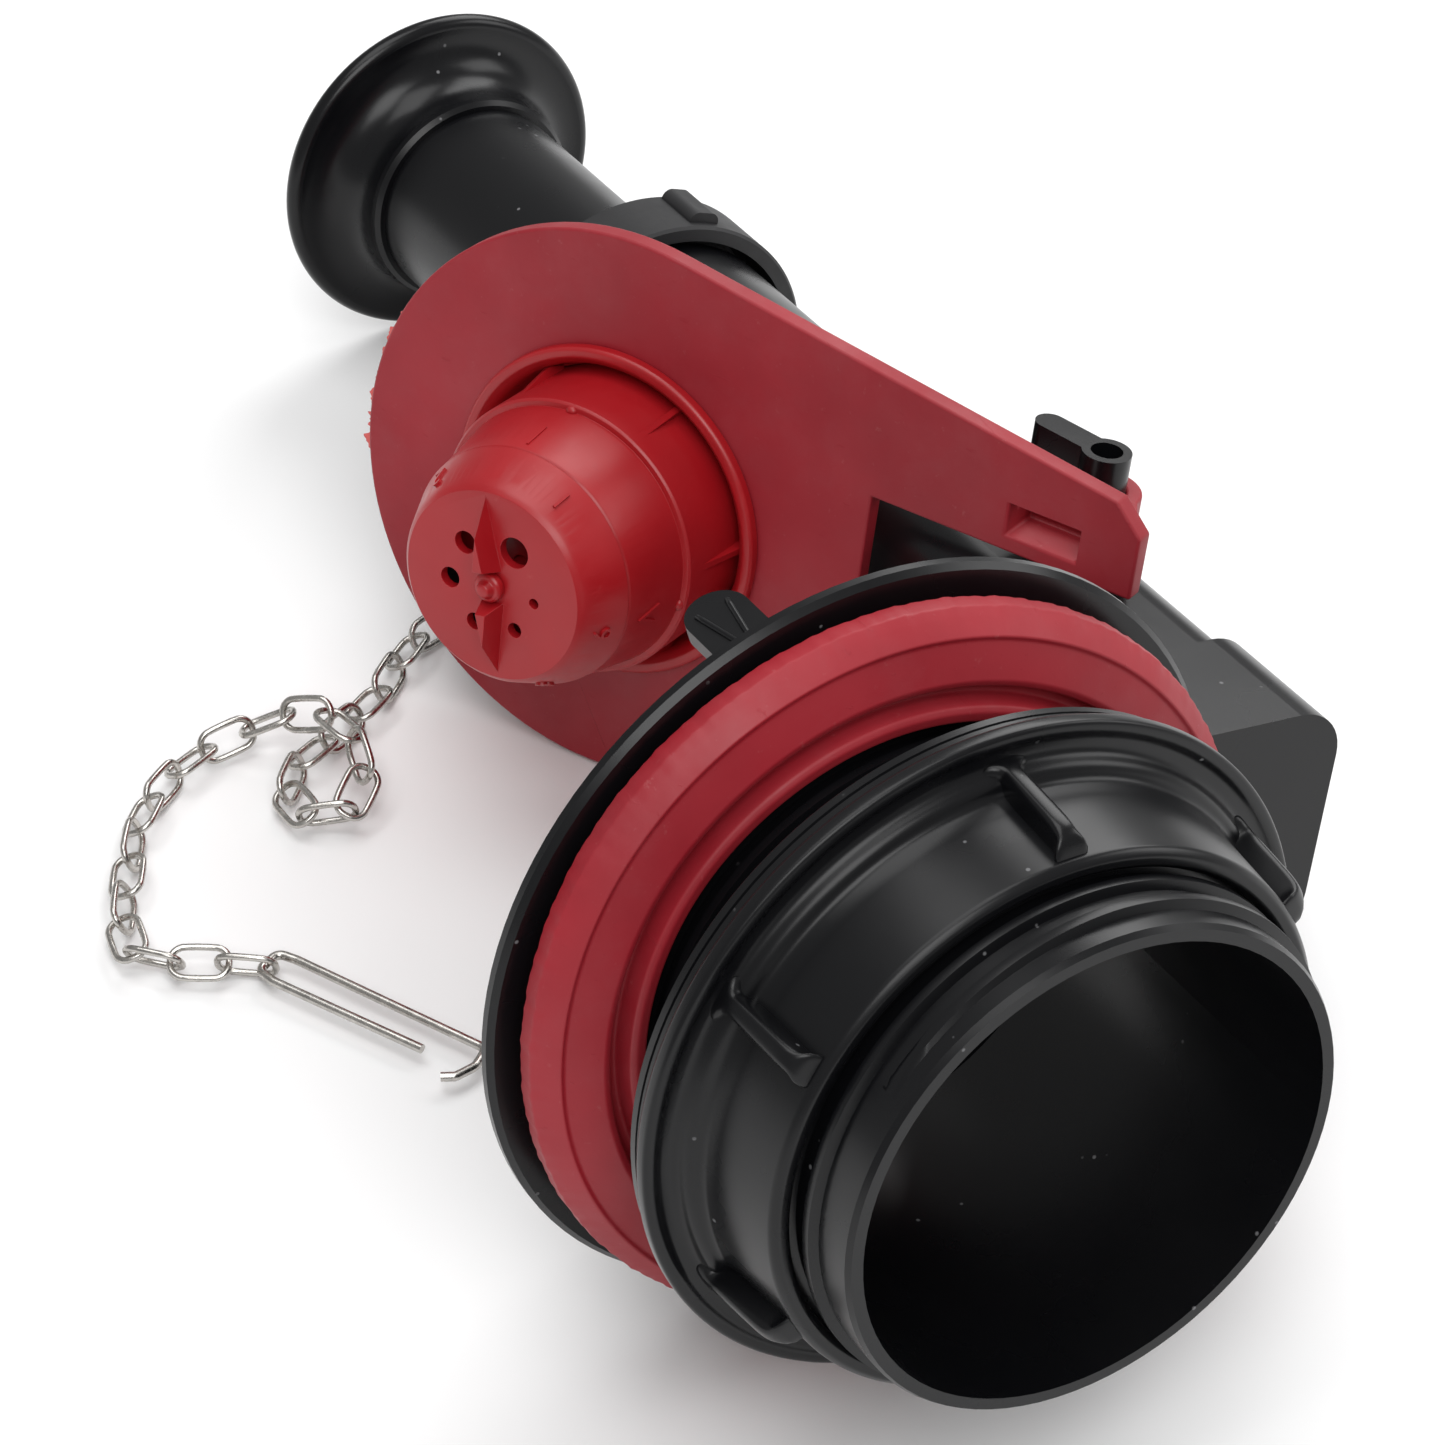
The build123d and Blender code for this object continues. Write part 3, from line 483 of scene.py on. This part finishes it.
def flash_film():
    """Thin torn rubber, its pale pink base colour a painted glow of light shining through the thin film, as
    the shader has no transmission.
    """
    material, tree, shader = new_finish("rubber flash", "red_rubber", 0.45)
    # painted glow: these pale pinks stand in for light passing through the thin rubber
    base = mixed(tree, noise(tree, 700.0), (0.80, 0.16, 0.14), (0.62, 0.07, 0.07))
    wire_up(tree, shader, "Base Color", base)
    bumped(tree, shader, noise(tree, 900.0, 3.0), 0.1)
    return material


MATERIALS = {}
MAKERS = {
    "black_plastic": black_plastic,
    "matt_black_plastic": soft_black_plastic,
    "black_rubber": black_rubber,
    "red_rubber": red_rubber,
    "red_plastic": red_plastic,
    "steel": steel_wire,
    "flash": flash_film,
}


def finish(piece, key):
    """Gives a piece one of the finishes."""
    if key not in MATERIALS:
        MATERIALS[key] = MAKERS[key]()
    material = MATERIALS[key]
    piece.data.materials.clear()
    piece.data.materials.append(material)


# ---- operators: the stage and the pieces ---------------------------------------------------------------
class FLUSH_OT_stage(bpy.types.Operator):
    """Adds the floor, the soft lights and the camera"""

    bl_idname = "flush.stage"
    bl_label = "Stage"

    def execute(self, context):
        scene = context.scene
        side = 6.0
        below = -0.0001
        floor_points = [
            [(-side, -side, below), (side, -side, below)],
            [(-side, side, below), (side, side, below)],
        ]
        floor = grid_piece("floor", floor_points, False, False)
        if floor.data.polygons[0].normal.z < 0:
            floor.data.flip_normals()
        paper = bpy.data.materials.new("floor paper")
        paper.use_nodes = True
        tree = paper.node_tree
        shader = tree.nodes["Principled BSDF"]
        shader.inputs["Roughness"].default_value = 0.9
        shader.inputs["Specular IOR Level"].default_value = 0.1
        tint = mixed(tree, noise(tree, 3.0), (0.93, 0.93, 0.93), (0.91, 0.91, 0.912))
        wire_up(tree, shader, "Base Color", tint)
        floor.data.materials.append(paper)
        world = bpy.data.worlds.new("studio")
        world.use_nodes = True
        world.node_tree.nodes["Background"].inputs[0].default_value = (1.0, 1.0, 1.0, 1.0)
        world.node_tree.nodes["Background"].inputs[1].default_value = 0.36
        scene.world = world
        scene.view_settings.view_transform = "Standard"
        middle = VALVE.place((30, 0, 90))
        lamps = (
            ("key light", (-0.75, 0.35, 0.95), 0.7, 7.0),
            ("back light", (0.55, -0.85, 0.85), 0.8, 8.0),
            ("side light", (-0.35, -0.95, 0.55), 0.5, 2.5),
            ("top light", (0.15, 0.15, 1.25), 0.9, 7.0),
        )
        for name, offset, width, power in lamps:
            lamp = bpy.data.lights.new(name, "AREA")
            lamp.shape = "SQUARE"
            lamp.size = width
            lamp.energy = power
            holder = bpy.data.objects.new(name, lamp)
            scene.collection.objects.link(holder)
            spot = Vector(middle) + Vector(offset)
            holder.location = spot
            holder.rotation_euler = (Vector(middle) - spot).to_track_quat("-Z", "Y").to_euler()
        lens = bpy.data.cameras.new("camera")
        lens.sensor_width = 36.0
        lens.lens = 119.6
        lens.clip_start = 0.01
        camera = bpy.data.objects.new("camera", lens)
        scene.collection.objects.link(camera)
        right = VALVE.direction((0.85421, -0.12035, -0.5058))
        down = VALVE.direction((-0.17897, 0.84533, -0.50338))
        ahead = VALVE.direction((0.48815, 0.52051, 0.70055))
        columns = Matrix((right, -down, -ahead)).transposed().to_4x4()
        place = Matrix.Translation(Vector(VALVE.place((-361.0, -396.3, -474.8))))
        camera.matrix_world = place @ columns
        scene.camera = camera
        return {"FINISHED"}


class FLUSH_OT_body(bpy.types.Operator):
    """Finishes the shank, flange, seat and foot, and adds the end of the thread and the guide tab's ribs"""

    bl_idname = "flush.body"
    bl_label = "Body"

    def execute(self, context):
        tubes = ("lower_tube", "upper_tube", "overflow_funnel")
        for node in ("valve_body", *tubes, "slip_washer", "cup_retainer"):
            finish(frame["nodes"][node], "black_plastic")
        finish(frame["nodes"]["tube_collar"], "matt_black_plastic")
        for node in ("tube_seal", "dial_seal"):
            finish(frame["nodes"][node], "black_rubber")
        # last turn of the thread: a ridge whose height fades to nothing at its start, on a helix
        turn = np.linspace(0.0, 1.35, 190)[:, None]
        angle = math.radians(-150) + 2 * math.pi * turn
        height = -58.6 + THREAD_PITCH * turn
        rise = 1.45 * np.clip(turn / 0.16, 0, 1) ** 0.6
        across = np.array([-1.5, -0.75, -0.35, 0.35, 0.75, 1.5])[None]
        crown = np.array([-0.4, 0.97, 1.0, 1.0, 0.97, -0.4])[None]
        radius = SHANK_RADIUS + rise * crown
        z = height + across
        z = np.broadcast_to(z, radius.shape)
        ridge = np.stack((radius * np.cos(angle), radius * np.sin(angle), z), -1)
        thread = grid_piece("thread_end", VALVE.place(ridge), False, True, cap=True)
        thread.data.set_sharp_from_angle(angle=math.radians(40))
        finish(thread, "black_plastic")
        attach(thread, "valve")
        # two ribs on the guide tab's outer face: bars that meet low down and part upwards
        out = np.array([math.cos(TAB_HEADING), math.sin(TAB_HEADING), 0])
        sideways = np.array([-out[1], out[0], 0])
        bars = []
        for lean in (-1, 1):
            t = np.linspace(0, 1, 12)[:, None]
            turn = np.linspace(0, 2 * math.pi, 12, endpoint=False)[None]
            across = lean * 2.6 * t + 0.5 * np.cos(turn)
            lift = TAB_FACE + 0.7 * np.sin(turn) + 0 * t
            height = 6.0 + 14.0 * t + 0 * turn
            upward = height[..., None] * np.array([0, 0, 1.0])
            bars.append(lift[..., None] * out + across[..., None] * sideways + upward)
        ribs = grid_piece("tab_ribs", VALVE.place(np.array(bars)), False, True, cap=True)
        finish(ribs, "black_plastic")
        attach(ribs, "valve")
        return {"FINISHED"}


class FLUSH_OT_locknut(bpy.types.Operator):
    """Makes the locknut: a turned body with a stepped flange, and six lugs that run down its hub"""

    bl_idname = "flush.locknut"
    bl_label = "Locknut"

    def execute(self, context):
        s = sizes()
        back, front = -s.nut_back, -s.nut_back - s.nut_height
        outline = (
            (s.nut_bore, back),
            (s.nut_flange, back),
            (s.nut_flange, back - 2.7),
            (s.nut_flange - 1.7, back - 2.9),
            (s.nut_flange - 2.6, back - 2.3),
            (s.nut_hub + 4.6, back - 2.5),
            (s.nut_hub + 3.6, back - 4.6),
            (s.nut_hub + 1.8, back - 5.3),
            (s.nut_hub + 1.2, back - 7.5),
            (s.nut_hub + 0.1, front + 0.9),
            (s.nut_hub - 0.9, front),
            (s.nut_bore + 0.9, front),
            (s.nut_bore, front + 0.9),
        )
        cuts = np.array([0.2, 0.9, 0.9, 0.6, 0.8, 1.2, 1.2, 1.2, 2.0, 0.6, 0.4, 0.3, 0.3])
        nut = grid_piece("locknut_shell", turned(VALVE, soften(outline, cuts, 5), 220))
        finish(nut, "black_plastic")
        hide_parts("locknut")
        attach(nut, "nut")
        # a lug's section across the hub is a squared oval of half-width wide and half-depth deep about its
        # middle radius; its outer radius falls to the hub at the far end as sqrt(1 - t^14), and its foot
        # widens on the flange as a bell curve
        t = np.linspace(0, 1, 40)[:, None]
        a = np.linspace(0, 2 * math.pi, 28, endpoint=False)[None]
        z = back - 2.0 - t * (s.nut_height - 3.4)
        top = s.lug_reach - 1.6 * t
        outer = s.nut_hub - 1.0 + (top - s.nut_hub + 1.0) * np.sqrt(np.clip(1 - t**14, 0, 1))
        inner = s.nut_hub - 1.6
        foot = 2.3 * np.exp(-(((z - back + 2.6) / 1.1) ** 2))
        tip = 0.9 * np.exp(-(((t - 0.97) / 0.05) ** 2))
        wide = 1.75 + foot + tip
        middle, deep = (outer + inner) / 2, (outer - inner) / 2
        square = np.sign(np.cos(a)) * np.abs(np.cos(a)) ** 0.45
        wing = np.sign(np.sin(a)) * np.abs(np.sin(a)) ** 0.6
        radial, sideways = middle + deep * square, wide * wing
        headings = np.radians(-35 + np.arange(s.lug_count) * 360 / s.lug_count)[:, None, None]
        x = radial * np.cos(headings) - sideways * np.sin(headings)
        y = radial * np.sin(headings) + sideways * np.cos(headings)
        sides = VALVE.place(np.stack((x, y, np.broadcast_to(z, x.shape)), -1))
        lugs = grid_piece("locknut_lugs", sides, False, True, cap=True)
        lugs.data.set_sharp_from_angle(angle=math.radians(60))
        finish(lugs, "black_plastic")
        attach(lugs, "nut")
        return {"FINISHED"}


class FLUSH_OT_gasket(bpy.types.Operator):
    """Makes the red tank gasket: bevelled, with a groove and a raised inner lip, a little uneven"""

    bl_idname = "flush.gasket"
    bl_label = "Tank gasket"

    def execute(self, context):
        s = sizes()
        edge, hole = s.gasket_radius, s.gasket_bore
        outline = (
            (hole, 0.0),
            (edge, 0.0),
            (edge, 3.1),
            (edge - 1.0, 4.4),
            (edge - 3.2, 6.9),
            (edge - 3.9, 6.5),
            (edge - 9.4, 8.6),
            (edge - 10.4, 8.2),
            (edge - 11.0, 5.4),
            (edge - 12.6, 5.2),
            (edge - 13.2, 8.9),
            (edge - 14.1, 9.4),
            (hole + 0.5, 9.2),
            (hole, 8.4),
        )
        cuts = np.array([0.2, 0.3, 0.3, 0.3, 0.5, 0.5, 0.35, 0.35, 0.6, 0.6, 0.35, 0.3, 0.3, 0.3])

        def uneven(angle, profile):
            """Slow waves all round, and small nicks on the outer edge."""
            slow = 0.16 * np.sin(3 * angle + 0.4) + 0.10 * np.sin(7 * angle + 2.0)
            rim = np.clip((profile[..., 0] - edge + 2.0) / 2.0, 0, 1)
            nicks = 0.10 * np.sin(61 * angle) * np.sin(23 * angle + 1.0) + 0.07 * np.sin(137 * angle + 0.6)
            return slow * 0.6 + rim * nicks - 0.1

        gasket = grid_piece("gasket", turned(GASKET, soften(outline, cuts, 5), 420, uneven))
        finish(gasket, "red_rubber")
        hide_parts("tank_gasket")
        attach(gasket, "gasket")
        return {"FINISHED"}


class FLUSH_OT_flapper(bpy.types.Operator):
    """Rounds the flapper's edges, and adds the torn flash along its rim"""

    bl_idname = "flush.flapper"
    bl_label = "Flapper"

    def execute(self, context):
        flap = eased("flapper", 0.5, "flapper_sheet")
        finish(flap, "red_rubber")
        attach(flap, "flap")
        # flash: a thin ragged strip round part of the rim, its width a sum of sines
        angle = np.radians(np.linspace(150, 262, 260))[:, None]
        share = np.linspace(0, 1, 260)[:, None]
        fade = np.clip(np.minimum(share, 1 - share) / 0.08, 0, 1)
        ragged = (
            0.55
            + 0.35 * np.sin(29 * angle + 0.5)
            + 0.28 * np.sin(71 * angle + 1.3)
            + 0.2 * np.sin(143 * angle)
            + 0.14 * np.sin(301 * angle)
        )
        lump = np.exp(-(((share - 0.30) / 0.035) ** 2)) * 1.6
        reach = fade * np.clip(ragged, 0.05, 2) * (0.9 + lump)
        out = np.array([-0.6, 0.35, 0.75, 1.0])[None]
        radius = FLAPPER_RADIUS + np.where(out < 0, out, out * reach)
        height = -1.6 + 0.25 * np.sin(37 * angle) * np.clip(out, 0, 1)
        strip = np.stack(
            (radius * np.cos(angle), radius * np.sin(angle), np.broadcast_to(height, radius.shape)), -1
        )
        flash = grid_piece("flapper_flash", FLAP.place(strip), False, False)
        wall = flash.modifiers.new("film", "SOLIDIFY")
        wall.thickness = 0.25 * MM
        wall.offset = 0.0
        finish(flash, "flash")
        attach(flash, "flap")
        return {"FINISHED"}


def on_cone(text, letter_size, thick, heading, foot, top, rise, spin=0.0):
    """Vertices and faces of a letter laid on a cone: its x runs round the axis, its y up the side from foot
    to top, each (radius, height) in millimetres, and its depth along the side's normal. The letter's middle
    lies at foot + (top - foot) rise."""
    curve = bpy.data.curves.new("letter", "FONT")
    curve.body = text
    curve.size = letter_size * MM
    curve.extrude = thick * MM / 2
    curve.align_x = "CENTER"
    curve.align_y = "CENTER"
    curve.resolution_u = 3
    holder = bpy.data.objects.new("letter", curve)
    bpy.context.scene.collection.objects.link(holder)
    bpy.context.view_layer.update()
    mesh = bpy.data.meshes.new_from_object(holder)
    flat = np.zeros(len(mesh.vertices) * 3)
    mesh.vertices.foreach_get("co", flat)
    flat = flat.reshape(-1, 3) / MM
    faces = [tuple(p.vertices) for p in mesh.polygons]
    bpy.data.objects.remove(holder)
    bpy.data.curves.remove(curve)
    bpy.data.meshes.remove(mesh)
    c, d = math.cos(spin), math.sin(spin)
    across, up = flat[:, 0] * c - flat[:, 1] * d, flat[:, 0] * d + flat[:, 1] * c
    foot, top = np.array(foot, float), np.array(top, float)
    side = (top - foot) / np.linalg.norm(top - foot)
    normal = np.array([side[1], -side[0]])
    if normal[0] < 0:
        normal = -normal
    middle = foot + (top - foot) * rise
    spot = middle[None] + up[:, None] * side[None] + (flat[:, 2:3] + 0.02) * normal[None]
    angle = heading + across / middle[0]
    points = np.stack((spot[:, 0] * np.cos(angle), spot[:, 0] * np.sin(angle), spot[:, 1]), -1)
    return points, faces


def lettered(name, parts):
    """One object in the flapper's frame from several lettered parts."""
    points, faces, start = [], [], 0
    for part_points, part_faces in parts:
        points.append(part_points)
        faces += [tuple(v + start for v in face) for face in part_faces]
        start += len(part_points)
    mesh = bpy.data.meshes.new(name)
    mesh.from_pydata(FLAP.place(np.concatenate(points)), [], faces)
    body = bmesh.new()
    body.from_mesh(mesh)
    bmesh.ops.remove_doubles(body, verts=body.verts, dist=1e-6)
    bmesh.ops.recalc_face_normals(body, faces=body.faces)
    body.to_mesh(mesh)
    body.free()
    piece = bpy.data.objects.new(name, mesh)
    bpy.context.scene.collection.objects.link(piece)
    return piece


class FLUSH_OT_dial(bpy.types.Operator):
    """Rounds the cup, ring and dial, and adds the dial's numbers and the cup's pointer mark and nubs"""

    bl_idname = "flush.dial"
    bl_label = "Cup and dial"

    def execute(self, context):
        s = sizes()
        for node, body, width in (
            ("cup_ring", "flap", 0.25),
            ("bleed_cup", "flap", 0.25),
            ("bleed_dial", "dial", 0.12),
            ("dial_rivet", "flap", 0.3),
        ):
            piece = eased(node, width, node + "_eased")
            finish(piece, "red_plastic")
            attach(piece, body)
        digits = [
            on_cone(str(number), s.digit_height, 0.9, math.radians(heading), *CONE, 0.5)
            for number, heading in ((1, 64), (2, 141), (3, 192), (4, 252), (6, 350), (8, 299))
        ]
        numbers = lettered("dial_numbers", digits)
        finish(numbers, "red_plastic")
        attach(numbers, "dial")
        mark = [
            on_cone("V", 6.5, 0.7, math.radians(352), *CUP, 0.62, math.pi),
            on_cone("|", 6.0, 0.4, math.radians(97), *CUP, 0.7),
        ]
        pointer = lettered("cup_pointer", mark)
        finish(pointer, "red_plastic")
        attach(pointer, "flap")
        # nubs: small pads round the cup's lip
        headings = np.radians(np.array([94.0, 222.0, 351.0]))[:, None, None]
        u = np.linspace(0, math.pi, 10)[None, :, None]
        v = np.linspace(0, 2 * math.pi, 16, endpoint=False)[None, None]
        around = 1.1 * np.sin(u) * np.cos(v)
        up = 13.3 + 0.9 * np.sin(u) * np.sin(v)
        out = 23.4 + 0.9 * np.cos(u) + 0 * v
        angle = headings + around / 23.4
        up = np.broadcast_to(up, angle.shape)
        pads = FLAP.place(np.stack((out * np.cos(angle), out * np.sin(angle), up), -1))
        nubs = grid_piece("cup_nubs", pads, False, True)
        finish(nubs, "red_plastic")
        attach(nubs, "flap")
        return {"FINISHED"}


CHAIN_ROUTE = (
    (0.1503, -0.0260, 0.0210),
    (0.1494, -0.0285, 0.0110),
    (0.1520, -0.0300, 0.0050),
    (0.1580, -0.0245, 0.0036),
    (0.1610, -0.0145, 0.0036),
    (0.1580, -0.0040, 0.0036),
    (0.1500, 0.0040, 0.0036),
    (0.1445, 0.0130, 0.0036),
    (0.1410, 0.0220, 0.0036),
    (0.1370, 0.0310, 0.0036),
    (0.1300, 0.0345, 0.0037),
    (0.1226, 0.0320, 0.0042),
    (0.1212, 0.0244, 0.0054),
    (0.1274, 0.0194, 0.0082),
    (0.1360, 0.0190, 0.0108),
    (0.1445, 0.0218, 0.0098),
    (0.1495, 0.0300, 0.0052),
    (0.1505, 0.0395, 0.0036),
    (0.1470, 0.0480, 0.0036),
    (0.1415, 0.0560, 0.0036),
    (0.1350, 0.0610, 0.0036),
    (0.1275, 0.0655, 0.0036),
    (0.1195, 0.0700, 0.0036),
    (0.1122, 0.0742, 0.0036),
    (0.1058, 0.0708, 0.0036),
    (0.1015, 0.0625, 0.0036),
    (0.0955, 0.0545, 0.0034),
)


def curve_points(name, points):
    """Points along a NURBS line through a cord's control points, read from a curve with no bevel."""
    curve = bpy.data.curves.new(name, "CURVE")
    curve.dimensions = "3D"
    spline = curve.splines.new("NURBS")
    spline.points.add(len(points) - 1)
    spline.points.foreach_set("co", np.column_stack((points, np.ones(len(points)))).ravel())
    spline.order_u = 3
    spline.use_endpoint_u = True
    spline.resolution_u = 24
    holder = bpy.data.objects.new(name, curve)
    bpy.context.scene.collection.objects.link(holder)
    bpy.context.view_layer.update()
    mesh = bpy.data.meshes.new_from_object(holder)
    line = np.zeros(len(mesh.vertices) * 3)
    mesh.vertices.foreach_get("co", line)
    bpy.data.objects.remove(holder)
    bpy.data.curves.remove(curve)
    bpy.data.meshes.remove(mesh)
    return line.reshape(-1, 3)


def floor_origin():
    """Where the chain route's own origin lies in the row frame: below the valve's origin, on the floor."""
    return np.array([VALVE.origin[0], VALVE.origin[1], 0.00005])


class FLUSH_OT_chain(bpy.types.Operator):
    """Makes the chain of wire links along its route on the floor, and finishes its ring and clip"""

    bl_idname = "flush.chain"
    bl_label = "Chain"

    def execute(self, context):
        s = sizes()
        low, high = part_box("chain_ring")
        hang = np.array([(low.x + high.x) / 2, (low.y + high.y) / 2, low.z + 0.0018])
        route = np.vstack((hang[None], np.array(CHAIN_ROUTE) + floor_origin()))
        line = curve_points("chain_line", route)
        run = np.concatenate(([0], np.cumsum(np.linalg.norm(np.diff(line, axis=0), axis=1))))
        stations = np.linspace(0, run[-1], s.link_count + 1)
        meet = np.stack([np.interp(stations, run, line[:, k]) for k in range(3)], -1)
        centre = (meet[1:] + meet[:-1]) / 2
        ahead = meet[1:] - meet[:-1]
        ahead = ahead / np.linalg.norm(ahead, axis=1, keepdims=True)
        # the level heading sets which way is sideways; where a link hangs, the ring's own plane does
        level = ahead * np.array([1, 1, 0])
        steep = np.linalg.norm(level, axis=1, keepdims=True) < 0.6
        level = np.where(steep, -FLAP.turn[0][None] * np.array([1, 1, 0]), level)
        side = np.cross(np.array([[0, 0, 1.0]]), level)
        side = side / np.linalg.norm(side, axis=1, keepdims=True)
        face = np.cross(ahead, side)
        count = np.arange(s.link_count)
        wobble = 6 * np.sin(count * 2.4) * (count > 3)
        roll = np.radians(24 * np.minimum(1, count / 4) + 90 * (count % 2) + wobble)[:, None]
        face = face * np.cos(roll) + np.cross(ahead, face) * np.sin(roll)
        side = np.cross(face, ahead)
        # a link: two straight wires joined by half circles, (x, y) along and across it, as a round wire
        bend = (s.link_width - s.link_wire) / 2
        half = (s.link_length - s.link_width) / 2
        t = np.linspace(0, 2 * math.pi, 40, endpoint=False)
        x = np.where(np.cos(t) >= 0, half, -half) * np.clip(np.abs(np.cos(t)) * 4, 0, 1) + bend * np.cos(t)
        y = bend * np.sign(np.sin(t)) * np.abs(np.sin(t)) ** 0.8
        normal_x, normal_y = np.cos(t), np.sin(t)
        q = np.linspace(0, 2 * math.pi, 9, endpoint=False)[None]
        r = s.link_wire / 2
        px = x[:, None] + r * np.cos(q) * normal_x[:, None]
        py = y[:, None] + r * np.cos(q) * normal_y[:, None]
        pz = r * np.sin(q) + 0 * px
        links = (
            centre[:, None, None]
            + px[None, ..., None] * MM * ahead[:, None, None]
            + py[None, ..., None] * MM * side[:, None, None]
            + pz[None, ..., None] * MM * face[:, None, None]
        )
        chain = grid_piece("chain", links)
        finish(chain, "steel")
        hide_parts("chain_links")
        for node in ("chain_ring", "chain_clip"):
            finish(frame["nodes"][node], "steel")
        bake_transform(chain)
        return {"FINISHED"}


class FLUSH_PT_panel(bpy.types.Panel):
    """Lists the valve's pieces in the 3D view's sidebar"""

    bl_idname = "FLUSH_PT_panel"
    bl_label = "Flush Valve"
    bl_space_type = "VIEW_3D"
    bl_region_type = "UI"
    bl_category = "Flush Valve"

    def draw(self, context):
        for operator in PIECES:
            self.layout.operator(operator.bl_idname)
        for group in (context.scene.flush_sizes, context.scene.flush_finishes):
            for key in group.__annotations__:
                self.layout.prop(group, key)


PIECES = (
    FLUSH_OT_stage,
    FLUSH_OT_chain,
    FLUSH_OT_body,
    FLUSH_OT_locknut,
    FLUSH_OT_gasket,
    FLUSH_OT_flapper,
    FLUSH_OT_dial,
)
CLASSES = (FLUSH_finishes, FLUSH_sizes, *PIECES, FLUSH_PT_panel)


def register():
    """Registers the classes and adds their settings to the scene."""
    for item in CLASSES:
        bpy.utils.register_class(item)
    bpy.types.Scene.flush_finishes = PointerProperty(type=FLUSH_finishes)
    bpy.types.Scene.flush_sizes = PointerProperty(type=FLUSH_sizes)


def unregister():
    """Removes the settings and the classes."""
    del bpy.types.Scene.flush_sizes
    del bpy.types.Scene.flush_finishes
    for item in reversed(CLASSES):
        bpy.utils.unregister_class(item)


def main():
    register()
    bpy.ops.flush.stage()
    bpy.ops.flush.chain()
    bpy.ops.flush.body()
    bpy.ops.flush.locknut()
    bpy.ops.flush.gasket()
    bpy.ops.flush.flapper()
    bpy.ops.flush.dial()


if __name__ == "__main__":
    main()
